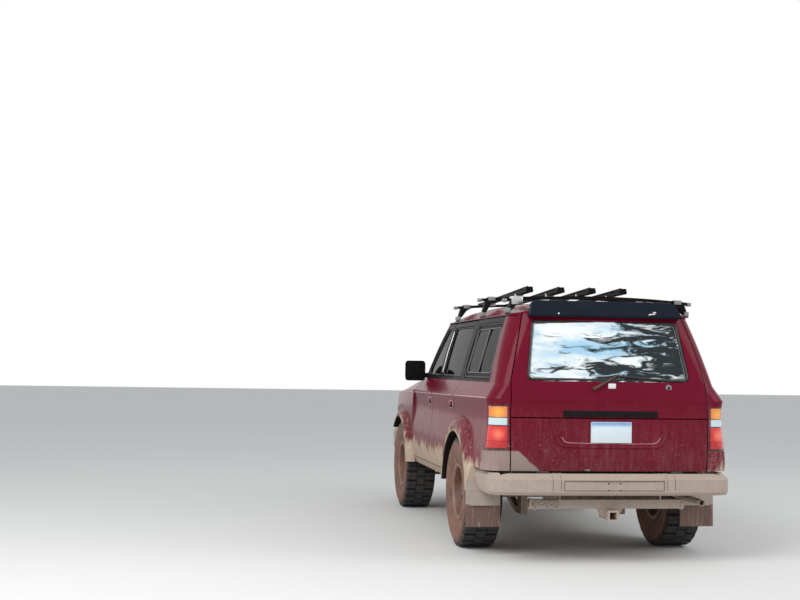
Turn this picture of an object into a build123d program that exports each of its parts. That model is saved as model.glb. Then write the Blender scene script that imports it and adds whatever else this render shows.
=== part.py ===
from build123d import *
import os
from math import cos, radians, sin, sqrt

os.makedirs("parts", exist_ok=True)

# Lifted off-road 4x4 wagon, in millimetres.
# X points to the left side, Y to the rear, Z up. The ground is Z = 0, the origin is at mid-length.

# Driving dimensions of the whole vehicle
overall_length = 4820
wheelbase = 2850
front_overhang = 865
half_track = 795
front_y = -overall_length / 2
rear_y = overall_length / 2
front_axle_y = front_y + front_overhang
rear_axle_y = front_axle_y + wheelbase

# Wheels
tyre_r = 425
tyre_half_width = 152
bead_r = 203
rim_flange_r = 222
rim_half_width = 118
rim_wall = 13
hub_r = 62
spindle_r = 30
disc_r = 142
fit_gap = 0.3

# Steering
kingpin_x = 700
kingpin_r = 14
ball_r = 50
steer_arm = 128
steer_drop = 55
track_rod_r = 14

# Body heights and shut lines
sill_z = 480
sill_top_z = 540
belt_z = 1285
gutter_z = 1797
roof_top_z = 1940
roof_mid_y = 880
roof_long_r = 13000
roof_cross_r = 2536
cowl_y = -985
shut_gap = 8
frame_gap = 14
door_wall = 80
upper_wall = 45
clip_wall = 30
hinge_x = 918
sill_inner_x = 735
arch_r = 465
arch_lip_x = 820
flare_outer_r = 595
flare_x = 963

# Plan outlines of the cab, one row a level, from the sill to the roof.
# height, half width at front, middle and rear, rear face, rear corner radius, wall
lower_levels = [
    (sill_z, 856, 864, 850, 2264, 95, door_wall),
    (560, 897, 905, 890, 2284, 105, door_wall),
    (820, 912, 915, 904, 2308, 115, door_wall),
    (1175, 902, 908, 894, 2304, 115, door_wall),
]
shoulder_levels = [
    (1175, 902, 908, 894, 2304, 115, door_wall),
    (belt_z, 804, 838, 824, 2276, 125, upper_wall),
]
# The same, with the front corner's place and radius in the last two columns
upper_levels = [
    (belt_z, 806, 838, 824, 2276, 125, upper_wall, -890, 60),
    (1550, 748, 773, 757, 2212, 170, upper_wall, -632, 65),
    (gutter_z, 672, 689, 677, 2138, 190, upper_wall, -391, 70),
]
roof_levels = [
    (gutter_z, 672, 689, 677, 2138, 190, upper_wall, -391, 70),
    (1960, 494, 511, 500, 2092, 180, upper_wall, -234, 70),
]
rear_bow = 30
screen_bow = 55
side_mid_y = 700

# Sections of the front end, one row a station, from the cowl to the nose.
# place, half width at 560 and 820 up, shoulder x and z, hood line x and z, crown z
clip_stations = [
    (cowl_y, 898, 914, 902, 1175, 800, 1264, 1292),
    (-1650, 889, 905, 886, 1152, 776, 1222, 1254),
    (-2310, 862, 874, 850, 1104, 742, 1138, 1166),
]
nose_y = -2290
nose_bow = 48
nose_corner_r = 120
nose_wall = 40
hood_line_gap = 6


def belt_x(t, y):
    """Half width at the belt line, on the shoulder's own side arc, t further in than the skin."""
    front_x, mid_x, rear_x, rear = shoulder_levels[-1][1:5]
    front = (front_x - t, cowl_y - (20 if t else 0))
    arc = ThreePointArc(front, (mid_x - t, side_mid_y), (rear_x - t, rear - rear_bow - t))
    return arc.arc_center.X + sqrt(arc.radius**2 - (y - arc.arc_center.Y) ** 2)


def cab_outline(level, t):
    """One plan outline of the cab, t further in than the skin."""
    z, front_x, mid_x, rear_x, rear, corner = level[:6]
    has_screen = len(level) > 7
    a_y = level[7] + t if has_screen else cowl_y - (20 if t else 0)
    a, b = (front_x - t, a_y), (rear_x - t, rear - rear_bow - t)
    if has_screen and z == belt_z:
        a = (belt_x(t, a_y), a_y)
    with BuildSketch(Plane.XY.offset(z)) as outline:
        with BuildLine():
            ThreePointArc(a, (mid_x - t, side_mid_y), b)
            ThreePointArc(b, (0, rear - t), (-b[0], b[1]))
            ThreePointArc((-b[0], b[1]), (t - mid_x, side_mid_y), (-a[0], a[1]))
            if has_screen:
                ThreePointArc((-a[0], a[1]), (0, a_y - screen_bow), a)
            else:
                Line((-a[0], a[1]), a)
        make_face()
        fillet(outline.vertices().group_by(Axis.Y)[-1], radius=corner - t / 2)
        if has_screen:
            corners = [v for v in outline.vertices() if abs(v.Y - a_y) < 1 and abs(abs(v.X) - a[0]) < 1]
            fillet(corners, radius=level[8] - t / 2)
    return outline.sketch


def roof_dome(t):
    """Everything under the doubly curved roof skin, t below it."""
    lean = 9
    half = hinge_x
    reach = 1000
    axis_z = roof_top_z - roof_long_r
    r = roof_long_r - t
    drop = roof_cross_r - sqrt(roof_cross_r**2 - half**2)
    tilt = Plane(
        origin=(0, roof_mid_y, axis_z),
        x_dir=(1, 0, 0),
        z_dir=(0, -cos(radians(lean)), -sin(radians(lean))),
    )
    with BuildPart() as dome:
        with BuildSketch(tilt):
            with BuildLine():
                Polyline((half, r - drop), (half, r - reach), (-half, r - reach), (-half, r - drop))
                ThreePointArc((-half, r - drop), (0, r), (half, r - drop))
            make_face()
        revolve(axis=Axis((0, roof_mid_y, axis_z), (-1, 0, 0)), revolution_arc=2 * lean)
    return dome.part


def cab_form(extra=None):
    """The cab as one solid: the skin, or what lies inside its walls plus extra."""

    def inset(level):
        return 0 if extra is None else level[6] + extra

    with BuildPart() as form:
        loft(sections=[cab_outline(v, inset(v)) for v in upper_levels])
        loft(sections=[cab_outline(v, inset(v)) for v in roof_levels], ruled=True)
        add(roof_dome(inset(roof_levels[0])), mode=Mode.INTERSECT)
        loft(sections=[cab_outline(v, inset(v)) for v in lower_levels])
        loft(sections=[cab_outline(v, inset(v)) for v in shoulder_levels], ruled=True)
        if extra is not None:
            extrude(form.faces().sort_by(Axis.Z)[0], amount=20)
    return form.part


def clip_section(station, t):
    """One cross section of the front end, t inside the skin."""
    y, low_x, mid_x, sh_x, sh_z, line_x, line_z, crown_z = station
    plane = Plane(origin=(0, y, 0), x_dir=(1, 0, 0), z_dir=(0, -1, 0))
    bottom = sill_z - (20 if t else 0)
    half = [
        (low_x - 41 - t, bottom),
        (low_x - t, 560),
        (mid_x - t, 820),
        (sh_x - t, sh_z - t / 2),
        (line_x - t, line_z - t),
    ]
    other = [(-x, z) for x, z in half]
    with BuildSketch(plane) as section:
        with BuildLine():
            Line(half[0], half[1])
            ThreePointArc(half[1], half[2], half[3])
            Line(half[3], half[4])
            ThreePointArc(half[4], (0, crown_z - t), other[4])
            Line(other[4], other[3])
            ThreePointArc(other[3], other[2], other[1])
            Line(other[1], other[0])
            Line(other[0], half[0])
        make_face()
    return section.sketch


def nose_plan(t):
    """Plan outline that rounds the nose, t inside it."""
    corner = (clip_stations[-1][2] + 1 - t, nose_y + nose_bow + t)
    tail = (clip_stations[0][2] + 14, cowl_y + 30)
    with BuildSketch() as plan:
        with BuildLine():
            Line(tail, corner)
            ThreePointArc(corner, (0, nose_y + t), (-corner[0], corner[1]))
            Polyline((-corner[0], corner[1]), (-tail[0], tail[1]), tail)
        make_face()
        fillet(plan.vertices().group_by(Axis.Y)[0], radius=nose_corner_r - t)
    return plan.sketch


def clip_form(t=0):
    """The front end as one solid, or what lies inside its walls."""
    with BuildPart() as form:
        loft(sections=[clip_section(v, t) for v in clip_stations])
        front_wall = nose_wall if t else 0
        with BuildSketch(Plane.XY.offset(sill_z - 30)):
            add(nose_plan(front_wall))
        extrude(amount=1000, mode=Mode.INTERSECT)
    return form.part


def side_prism(points, lo=0, hi=1200, radius=0):
    """A block with the given outline in side view (Y, Z), from X = lo to hi."""
    with BuildPart() as prism:
        with BuildSketch(Plane.YZ.offset(lo)) as outline:
            with BuildLine():
                if radius:
                    FilletPolyline(*points, radius=radius, close=True)
                else:
                    Polyline(*points, close=True)
            make_face()
        extrude(amount=hi - lo)
    return prism.part


def end_prism(points, lo, hi, radius=0):
    """A block with the given outline seen from the front or rear (X, Z), from Y = lo to hi."""
    plane = Plane(origin=(0, hi, 0), x_dir=(1, 0, 0), z_dir=(0, -1, 0))
    with BuildPart() as prism:
        with BuildSketch(plane):
            with BuildLine():
                if radius:
                    FilletPolyline(*points, radius=radius, close=True)
                else:
                    Polyline(*points, close=True)
            make_face()
        extrude(amount=hi - lo)
    return prism.part


def block(x, y, z):
    """A plain block from three (low, high) pairs."""
    with BuildPart() as solid:
        with Locations(((x[0] + x[1]) / 2, (y[0] + y[1]) / 2, (z[0] + z[1]) / 2)):
            Box(x[1] - x[0], y[1] - y[0], z[1] - z[0])
    return solid.part


def disc_x(r, lo, hi, y, z):
    """A round block with its axis along X."""
    with BuildPart() as solid:
        with BuildSketch(Plane.YZ.offset(lo)):
            with Locations((y, z)):
                Circle(r)
        extrude(amount=hi - lo)
    return solid.part


def mirrored(points):
    """Points of the left half and their mirror images, as one closed outline."""
    return points + [(-x, z) for x, z in reversed(points)]


def keep(name, part):
    """Label a finished piece and write it out."""
    part.label = name
    export_step(part, f"parts/{name}.step")


def keep_both(stem, part):
    """Keep a left piece and its mirror image on the right."""
    keep(f"{stem}_left", part)
    keep(f"{stem}_right", mirror(part, about=Plane.YZ))


# Envelopes that every panel is cut from
cab_skin = cab_form()
cab_inside = cab_form(0)
cab_room = cab_form(shut_gap)
clip_skin = clip_form()
clip_inside = clip_form(clip_wall)
with BuildPart() as cab_shell:
    add(cab_skin)
    add(cab_inside, mode=Mode.SUBTRACT)
with BuildPart() as clip_shell:
    add(clip_skin)
    add(clip_inside, mode=Mode.SUBTRACT)

# Glass is a thin layer of the same lofts, a little below the skin
glass_depth = 16
glass_thick = 6


def glass_form(depth):
    with BuildPart() as form:
        loft(sections=[cab_outline(v, depth) for v in upper_levels])
        loft(sections=[cab_outline(v, depth) for v in roof_levels], ruled=True)
        add(roof_dome(depth), mode=Mode.INTERSECT)
    return form.part


with BuildPart() as glass_layer:
    add(glass_form(glass_depth))
    add(glass_form(glass_depth + glass_thick), mode=Mode.SUBTRACT)

# Side outlines, all in (Y, Z)
door_bottom_z = sill_top_z + shut_gap
door_top_z = 1778
b_line_y = 0
c_line_y = 985
pillar_foot = (-822, belt_z)
pillar_head = (-330, door_top_z)
arch_z = tyre_r
door_arch_r = flare_outer_r + shut_gap + 2


def front_door_outline(grow):
    """Front door, with its shut faces moved out by grow."""
    g = grow
    return [
        (cowl_y - g, door_bottom_z - g),
        (b_line_y - shut_gap / 2 + g, door_bottom_z - g),
        (b_line_y - shut_gap / 2 + g, belt_z),
        (b_line_y - frame_gap / 2 + g, belt_z + 1),
        (b_line_y - frame_gap / 2 + g, door_top_z + g),
        (pillar_head[0] - g, door_top_z + g),
        (pillar_foot[0] - g * 1.5, belt_z + g),
        (cowl_y - g, belt_z + g),
    ]


def rear_door_outline(grow):
    """Rear door before the wheel arch is cut out of its corner."""
    g = grow
    return [
        (b_line_y + shut_gap / 2 - g, door_bottom_z - g),
        (c_line_y + g, door_bottom_z - g),
        (c_line_y + g, belt_z),
        (c_line_y - 6 + g, belt_z + 1),
        (c_line_y - 6 + g, door_top_z + g),
        (b_line_y + frame_gap / 2 - g, door_top_z + g),
        (b_line_y + frame_gap / 2 - g, belt_z + 1),
        (b_line_y + shut_gap / 2 - g, belt_z),
    ]


window_base_z = belt_z + 30
window_top_z = door_top_z - 38
front_window = [
    (pillar_foot[0] + 48, window_base_z),
    (b_line_y - 62, window_base_z),
    (b_line_y - 62, window_top_z),
    (pillar_head[0] + 18, window_top_z),
]
rear_window = [
    (b_line_y + 62, window_base_z),
    (c_line_y - 62, window_base_z),
    (c_line_y - 62, window_top_z),
    (b_line_y + 62, window_top_z),
]
quarter_window = [
    (c_line_y + 75, window_base_z - 4),
    (c_line_y + 985, window_base_z - 4),
    (c_line_y + 895, window_top_z + 4),
    (c_line_y + 75, window_top_z + 4),
]
window_corner_r = 38

# Front door: shell, outline, window and the swing of its rear edge about the hinge
front_hinge_y = cowl_y + 10
rear_hinge_y = b_line_y + shut_gap / 2 + 10


def swing(hinge_y, edge_y):
    """Round block about a door's hinge line that its rear edge may fill."""
    with BuildPart() as solid:
        with BuildSketch(Plane.XY.offset(sill_z - 50)):
            with Locations((hinge_x, hinge_y)):
                Circle(edge_y - hinge_y)
        extrude(amount=belt_z - sill_z + 50)
        with BuildSketch(Plane.XY.offset(belt_z)):
            with Locations((hinge_x, hinge_y)):
                Circle(edge_y - hinge_y + 12)
        extrude(amount=600)
    return solid.part


with BuildPart() as front_door:
    add(cab_shell.part)
    add(side_prism(front_door_outline(0)), mode=Mode.INTERSECT)
    add(swing(front_hinge_y, b_line_y - shut_gap / 2), mode=Mode.INTERSECT)
    add(side_prism(front_window, radius=window_corner_r), mode=Mode.SUBTRACT)
keep_both("front_door", front_door.part)

with BuildPart() as rear_door:
    add(cab_shell.part)
    add(side_prism(rear_door_outline(0)), mode=Mode.INTERSECT)
    add(disc_x(door_arch_r, 0, 1200, rear_axle_y, arch_z), mode=Mode.SUBTRACT)
    add(swing(rear_hinge_y, c_line_y), mode=Mode.INTERSECT)
    add(side_prism(rear_window, radius=window_corner_r), mode=Mode.SUBTRACT)
keep_both("rear_door", rear_door.part)

for stem, outline in (("front_door_glass", front_window), ("rear_door_glass", rear_window)):
    with BuildPart() as pane:
        add(glass_layer.part)
        add(side_prism(outline, radius=window_corner_r), mode=Mode.INTERSECT)
    keep_both(stem, pane.part)

with BuildPart() as quarter_pane:
    add(glass_layer.part)
    add(side_prism(quarter_window, radius=window_corner_r), mode=Mode.INTERSECT)

# Rear opening, seen from behind in (X, Z)
tailgate_base_z = 664
split_z = 1044
hatch_half = [(745, split_z), (733, 1314), (609, 1826), (575, 1960)]
tailgate_half = [(738, tailgate_base_z), (745, split_z)]
hatch_front_y = 2076
hatch_window = [(618, 1308), (556, 1752)]
tailgate_from_y = 2080


def grown_half(points, g):
    """Rear outline of one half, with its upright edges moved out by g."""
    return [(x + g, z) for x, z in points]


with BuildPart() as hatch:
    add(cab_shell.part)
    add(end_prism(mirrored(grown_half(hatch_half, -shut_gap)), hatch_front_y, 2400), mode=Mode.INTERSECT)
    add(block((-900, 900), (2000, 2400), (split_z + shut_gap / 2, 2000)), mode=Mode.INTERSECT)
    add(end_prism(mirrored(hatch_window), 2000, 2400, radius=45), mode=Mode.SUBTRACT)
keep("hatch", hatch.part)

with BuildPart() as hatch_glass:
    add(glass_layer.part)
    add(end_prism(mirrored(hatch_window), 2000, 2400, radius=45), mode=Mode.INTERSECT)
keep("hatch_glass", hatch_glass.part)

with BuildPart() as tailgate:
    add(cab_shell.part)
    tailgate_outline = mirrored(grown_half(tailgate_half, -shut_gap))
    add(end_prism(tailgate_outline, tailgate_from_y, 2400), mode=Mode.INTERSECT)
    add(block((-900, 900), (2000, 2400), (tailgate_base_z, split_z - shut_gap / 2)), mode=Mode.INTERSECT)
keep("tailgate", tailgate.part)

# Tail lamps wrap the rear corners
lamp_z = (812, 1132)
lamp_x = (757, 1000)
lamp_y = (2196, 2400)
with BuildPart() as lamp:
    add(cab_shell.part)
    add(block(lamp_x, lamp_y, lamp_z), mode=Mode.INTERSECT)
lamp_right = mirror(lamp.part, about=Plane.YZ)
with BuildPart() as tail_lamps:
    add(lamp.part)
    add(lamp_right)
keep("tail_lamps", tail_lamps.part)

# Windscreen, seen from the front in (X, Z)
screen_half = [(742, belt_z - 1), (624, 1788), (300, 1824)]

# Body side: pillars, roof rail, sill, rear quarter and its wheel arch
quarter_tail_y = 1830
skirt_tail = (2160, sill_z)
skirt_bulge = (1915, 540)
flap_thick = 8
hinge_post_y = (-1048, -997)
hinge_post_top_z = 1150
post_half_y = 45
lip_depth = 22


def flare(axle_y, outer_r, lo_y, hi_y, lo_z):
    """Wheel arch flare that swells out of the skin, from lo_y to hi_y and down to lo_z."""
    skin_x = 880
    bulge_r = outer_r - (outer_r - arch_r) * 0.32
    with BuildPart() as solid:
        with BuildSketch(Plane(origin=(0, axle_y, arch_z), x_dir=(1, 0, 0), z_dir=(0, -1, 0))):
            with BuildLine():
                Polyline((skin_x, outer_r), (skin_x, arch_r), (flare_x - 6, arch_r))
                Line((flare_x - 6, arch_r), (flare_x, arch_r + 8))
                Line((flare_x, arch_r + 8), (flare_x, arch_r + 24))
                ThreePointArc((flare_x, arch_r + 24), (flare_x - 17, bulge_r), (skin_x, outer_r))
            make_face()
        revolve(axis=Axis((0, axle_y, arch_z), (1, 0, 0)), revolution_arc=360)
        add(block((0, 1200), (lo_y, hi_y), (lo_z, 1200)), mode=Mode.INTERSECT)
    return solid.part


def skirt_prism(gap):
    """Side view of the quarter's skirt under the bumper's swept end, grown by gap."""
    start_y = quarter_tail_y - 10
    top = (quarter_tail_y + 14 + gap, tailgate_base_z)
    bulge = (skirt_bulge[0] + gap, skirt_bulge[1] + gap)
    tail = (skirt_tail[0], skirt_tail[1] + gap)
    low = skirt_tail[1] - 60
    with BuildPart() as prism:
        with BuildSketch(Plane.YZ):
            with BuildLine():
                ThreePointArc(top, bulge, tail)
                Polyline(tail, (tail[0], low), (start_y, low))
                Polyline((start_y, low), (start_y, tailgate_base_z), top)
            make_face()
        extrude(amount=1200)
    return prism.part


def ring_x(outer_r, inner_r, lo, hi, y, z):
    """A ring with its axis along X."""
    with BuildPart() as solid:
        with BuildSketch(Plane.YZ.offset(lo)):
            with Locations((y, z)):
                Circle(outer_r)
                Circle(inner_r, mode=Mode.SUBTRACT)
        extrude(amount=hi - lo)
    return solid.part


with BuildPart() as rear_door_hole:
    add(side_prism(rear_door_outline(shut_gap)))
    add(disc_x(flare_outer_r + 2, -10, 1300, rear_axle_y, arch_z), mode=Mode.SUBTRACT)
with BuildPart() as arch_lip:
    add(cab_skin)
    add(ring_x(arch_r + lip_depth, arch_r, arch_lip_x, 1200, rear_axle_y, arch_z), mode=Mode.INTERSECT)
    add(block((0, 1200), (0, quarter_tail_y), (sill_z, 1200)), mode=Mode.INTERSECT)
with BuildPart() as sill:
    add(cab_skin)
    sill_y = (cowl_y, rear_axle_y)
    add(block((sill_inner_x, 1200), sill_y, (sill_z, sill_top_z)), mode=Mode.INTERSECT)
b_post = [
    (742, 530), (798, 530), (800, 560), (822, 700), (824, 1000), (817, 1168), (782, belt_z),
    (715, 1550), (639, 1776), (640, 1787), (680, 1790), (680, gutter_z), (600, gutter_z),
    (590, 1776), (660, 1550), (735, belt_z), (742, 1160),
]
pillar_foot_y = (-1016, -826)
pillar_foot_form = [(sill_inner_x, 1140), (790, 1140), (790, 1176), (745, 1280), (sill_inner_x, 1280)]
with BuildPart() as rail_gutter:
    with BuildSketch(Plane.XY.offset(gutter_z)):
        add(cab_outline(upper_levels[-1], -12))
        add(cab_outline(upper_levels[-1], 3), mode=Mode.SUBTRACT)
    extrude(amount=-9)
    add(block((600, 1200), (-330, 2066), (1700, 1900)), mode=Mode.INTERSECT)


def rear_hinge_seat(z):
    """Block on the B-post that carries a rear door's hinge, up to the door's inner face."""
    with BuildPart() as seat:
        add(block((800, 900), (10, post_half_y - 4), (z, z + 50)))
        add(hinge_limit, mode=Mode.INTERSECT)
    return seat.part


hinge_limit = cab_form(0.9)
with BuildPart() as centre_post:
    post = end_prism(b_post, -post_half_y, post_half_y)
    add(post & cab_room)
    for span in ((0, 562), (1770, 1900)):
        add(post & block((0, 1200), (-100, 100), span))
with BuildPart() as under_bumper:
    add(block((0, 1200), (quarter_tail_y, 2400), (400, tailgate_base_z)))
    add(skirt_prism(0), mode=Mode.SUBTRACT)
with BuildPart() as body_side:
    add(cab_shell.part)
    add(block((0, 1200), (-1200, 2400), (400, gutter_z)), mode=Mode.INTERSECT)
    add(side_prism(front_door_outline(shut_gap)), mode=Mode.SUBTRACT)
    add(rear_door_hole.part, mode=Mode.SUBTRACT)
    add(end_prism(mirrored(hatch_half + [(575, 1961)]), 2000, 2500), mode=Mode.SUBTRACT)
    add(end_prism(mirrored([(738, 400), (745, split_z + 1)]), 1900, 2500), mode=Mode.SUBTRACT)
    add(end_prism(mirrored(screen_half), -1300, 0), mode=Mode.SUBTRACT)
    add(side_prism(quarter_window, radius=window_corner_r), mode=Mode.SUBTRACT)
    add(sill.part)
    add(under_bumper.part, mode=Mode.SUBTRACT)
    flap_slot_y = (quarter_tail_y, quarter_tail_y + flap_thick + fit_gap)
    add(block((0, 1200), flap_slot_y, (400, 570)), mode=Mode.SUBTRACT)
    add(flare(rear_axle_y, flare_outer_r, 700, quarter_tail_y, sill_z))
    add(disc_x(arch_r, 0, 1200, rear_axle_y, arch_z), mode=Mode.SUBTRACT)
    add(arch_lip.part)
    add(block(lamp_x, lamp_y, lamp_z), mode=Mode.SUBTRACT)
    add(centre_post.part)
    add(block((sill_inner_x, 866), hinge_post_y, (560, hinge_post_top_z)))
    add(block((sill_inner_x, 828), hinge_post_y, (sill_z, 560)))
    add(end_prism(pillar_foot_form, *pillar_foot_y))
    add(block((743, 752), (-886, -832), (1260, 1340)))
    add(block((743, 786), (-882, -845), (belt_z + shut_gap + 1, 1340)))
    add(rail_gutter.part)
    for hinge_z in (690, 1010):
        add(block((838, 864), (hinge_post_y[1], cowl_y - fit_gap), (hinge_z, hinge_z + 50)))
        add(rear_hinge_seat(hinge_z))
keep_both("body_side", body_side.part)

# Roof panel, from the screen header to the hatch
with BuildPart() as roof_panel:
    add(cab_shell.part)
    add(block((-1200, 1200), (-1200, 2400), (gutter_z, 2100)), mode=Mode.INTERSECT)
    add(end_prism(mirrored(hatch_half + [(575, 2100)]), hatch_front_y - shut_gap, 2500), mode=Mode.SUBTRACT)
    add(end_prism(mirrored(screen_half), -1300, 0), mode=Mode.SUBTRACT)
    for hinge_at in (-350, 350):
        hinge_span = (hatch_front_y - shut_gap - 2, hatch_front_y - fit_gap)
        add(block((hinge_at - 30, hinge_at + 30), hinge_span, (1843, 1866)))
keep("roof_panel", roof_panel.part)

with BuildPart() as windscreen:
    add(glass_layer.part)
    add(end_prism(mirrored(screen_half), -1300, 0), mode=Mode.INTERSECT)
quarter_pane_right = mirror(quarter_pane.part, about=Plane.YZ)
with BuildPart() as body_glass:
    add(windscreen.part)
    add(quarter_pane.part)
    add(quarter_pane_right)
keep("body_glass", body_glass.part)

# Hood, fenders and front panel share the front end's shell
firewall_y = (cowl_y - 33, cowl_y - 18)
hood_rear_y = firewall_y[0] - shut_gap
front_panel_y = -2190
front_panel_z = (770, 1112)
hood_plan = [
    (clip_stations[0][5] - 3, hood_rear_y),
    (clip_stations[1][5] - 3, clip_stations[1][0]),
    (clip_stations[2][5] - 3, nose_y - 30),
]


def plan_prism(points, lo_z, hi_z):
    """A block with the given outline in plan (X, Y)."""
    with BuildPart() as prism:
        with BuildSketch(Plane.XY.offset(lo_z)):
            with BuildLine():
                Polyline(*points, close=True)
            make_face()
        extrude(amount=hi_z - lo_z)
    return prism.part


nose_box = block((-1200, 1200), (nose_y - 60, front_panel_y), front_panel_z)
with BuildPart() as hood:
    add(clip_shell.part)
    add(plan_prism(mirrored(hood_plan), 1000, 1400), mode=Mode.INTERSECT)
    add(nose_box, mode=Mode.SUBTRACT)
keep("hood", hood.part)

fender_hood_plan = [(x + hood_line_gap, y) for x, y in hood_plan]
fender_hood_plan = [(fender_hood_plan[0][0] + 2, cowl_y + 10)] + fender_hood_plan
front_flare_r = arch_r + 84
fender_rear_y = cowl_y - shut_gap
fender_nose_z = 770
apron_x = (440, 452)
shelf_z = (1080, 1092)
shelf_x = 845
with BuildPart() as fender_flange:
    add(clip_skin)
    add(block((shelf_x, 1200), (front_panel_y + 10, fender_rear_y - 60), shelf_z), mode=Mode.INTERSECT)
with BuildPart() as fender:
    add(clip_shell.part)
    add(fender_flange.part)
    add(block((0, 1200), (-2400, fender_rear_y), (sill_z, 1400)), mode=Mode.INTERSECT)
    add(plan_prism(mirrored(fender_hood_plan), 1000, 1400), mode=Mode.SUBTRACT)
    add(nose_box, mode=Mode.SUBTRACT)
    add(block((0, 1200), (-2400, front_axle_y), (400, fender_nose_z)), mode=Mode.SUBTRACT)
    add(flare(front_axle_y, front_flare_r, front_axle_y, fender_rear_y, sill_z))
    add(flare(front_axle_y, front_flare_r, -2300, front_axle_y, fender_nose_z))
    add(disc_x(arch_r, 0, 1200, front_axle_y, arch_z), mode=Mode.SUBTRACT)
keep_both("fender", fender.part)

grille_x = 432
grille_z = (902, 1086)
head_x = (446, 748)
corner_lamp_x = (762, 1200)
with BuildPart() as front_panel:
    add(clip_shell.part)
    add(nose_box, mode=Mode.INTERSECT)
    add(block((-grille_x, grille_x), (-2400, -2100), grille_z), mode=Mode.SUBTRACT)
    for span in (head_x, corner_lamp_x):
        for side in (1, -1):
            ends = tuple(sorted((side * span[0], side * span[1])))
            add(block(ends, (-2400, front_panel_y + 5), grille_z), mode=Mode.SUBTRACT)
keep("front_panel", front_panel.part)

with BuildPart() as front_lamps:
    add(clip_shell.part)
    with BuildPart(mode=Mode.PRIVATE) as lamp_spaces:
        for span in (head_x, corner_lamp_x):
            for side in (1, -1):
                ends = tuple(sorted((side * span[0], side * span[1])))
                add(block(ends, (-2400, front_panel_y), grille_z))
    add(lamp_spaces.part, mode=Mode.INTERSECT)
keep("front_lamps", front_lamps.part)

grille_bar = 14
grille_bars = 6
grille_y = (-2282, -2254)
with BuildPart() as grille:
    pitch = (grille_z[1] - grille_z[0] - grille_bar) / (grille_bars - 1)
    for k in range(grille_bars):
        low = grille_z[0] + k * pitch
        add(block((-grille_x, grille_x), grille_y, (low, low + grille_bar)))
    for x in (-grille_x, -grille_x / 2, 0, grille_x / 2, grille_x):
        post = (max(x - 7, -grille_x), min(x + 7, grille_x))
        add(block(post, (grille_y[0] + 6, grille_y[1]), grille_z))
keep("grille", grille.part)

# Floor pan of the cabin, with the edges that stand inside the sills
floor_z = (625, 640)
load_floor_z = (775, 790)
step_y = (835, 850)
radiator_y = (-2214, -2196)
sill_edge = 15
with BuildPart() as body_tub:
    add(block((-sill_inner_x, sill_inner_x), (firewall_y[0], step_y[0]), floor_z))
    for side in (1, -1):
        edge = tuple(sorted((side * (sill_inner_x - sill_edge), side * sill_inner_x)))
        add(block(edge, (firewall_y[0], 720), (sill_z, floor_z[1])))
    add(cab_room, mode=Mode.INTERSECT)
keep("body_tub", body_tub.part)

# Load floor with its step, wheelhouses, rear valance and the tailgate's hinge mounts
wheelhouse_x = 612
wheelhouse_wall = 12
wheelhouse_low_z = 560
wheelhouse_reach = 600
valance_y = (2150, 2165)
valance_z = 600
rail_slot_x = (352, 438)
with BuildPart() as load_plan:
    add(block((-sill_inner_x, sill_inner_x), step_y, (floor_z[0], load_floor_z[1])))
    add(block((-hinge_x, hinge_x), (step_y[0], 2400), load_floor_z))
    add(block((-640, 640), valance_y, (valance_z, load_floor_z[1])))
    for side in (1, -1):
        slot = tuple(sorted((side * rail_slot_x[0], side * rail_slot_x[1])))
        add(block(slot, (valance_y[0] - 10, valance_y[1] + 5), (0, 688)), mode=Mode.SUBTRACT)
    for side in (1, -1):
        span = tuple(sorted((side * wheelhouse_x, side * arch_lip_x)))
        wall = tuple(sorted((side * wheelhouse_x, side * (wheelhouse_x + wheelhouse_wall))))
        add(ring_x(arch_r + wheelhouse_wall + 1, arch_r, *span, rear_axle_y, arch_z))
        add(disc_x(arch_r + wheelhouse_wall + 1, *wall, rear_axle_y, arch_z))
    under_y = (rear_axle_y - wheelhouse_reach, rear_axle_y + wheelhouse_reach)
    add(block((-hinge_x, hinge_x), under_y, (-100, wheelhouse_low_z)), mode=Mode.SUBTRACT)
    for side in (1, -1):
        hollow = tuple(sorted((side * (wheelhouse_x + wheelhouse_wall), side * 1000)))
        add(disc_x(arch_r, *hollow, rear_axle_y, arch_z), mode=Mode.SUBTRACT)
        lip = tuple(sorted((side * arch_lip_x, side * 1000)))
        add(disc_x(arch_r + lip_depth, *lip, rear_axle_y, arch_z), mode=Mode.SUBTRACT)
    add(cab_room, mode=Mode.INTERSECT)
with BuildPart() as load_floor:
    add(load_plan.part)
    for at in (-500, 500):
        mount_y = (valance_y[0], 2304)
        add(block((at - 40, at + 40), mount_y, (tailgate_base_z - 14, tailgate_base_z - fit_gap)))
keep("load_floor", load_floor.part)

# Firewall with the cowl over it, on the floor pan
cowl_half = [(735, 1150), (735, 1256), (0, 1284)]
with BuildPart() as firewall:
    add(end_prism(cowl_half + [(-735, 1256), (-735, 1150)], firewall_y[0], -960))
    add(block((-735, 735), (-985, -868), (1150, belt_z - 1.3)))
    add(block((-735, 735), firewall_y, (floor_z[1], 1200)))
    for side in (1, -1):
        hood_mount = tuple(sorted((side * 560, side * 640)))
        add(block(hood_mount, (hood_rear_y + fit_gap, firewall_y[0]), (1240, 1256)))
keep("firewall", firewall.part)

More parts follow.
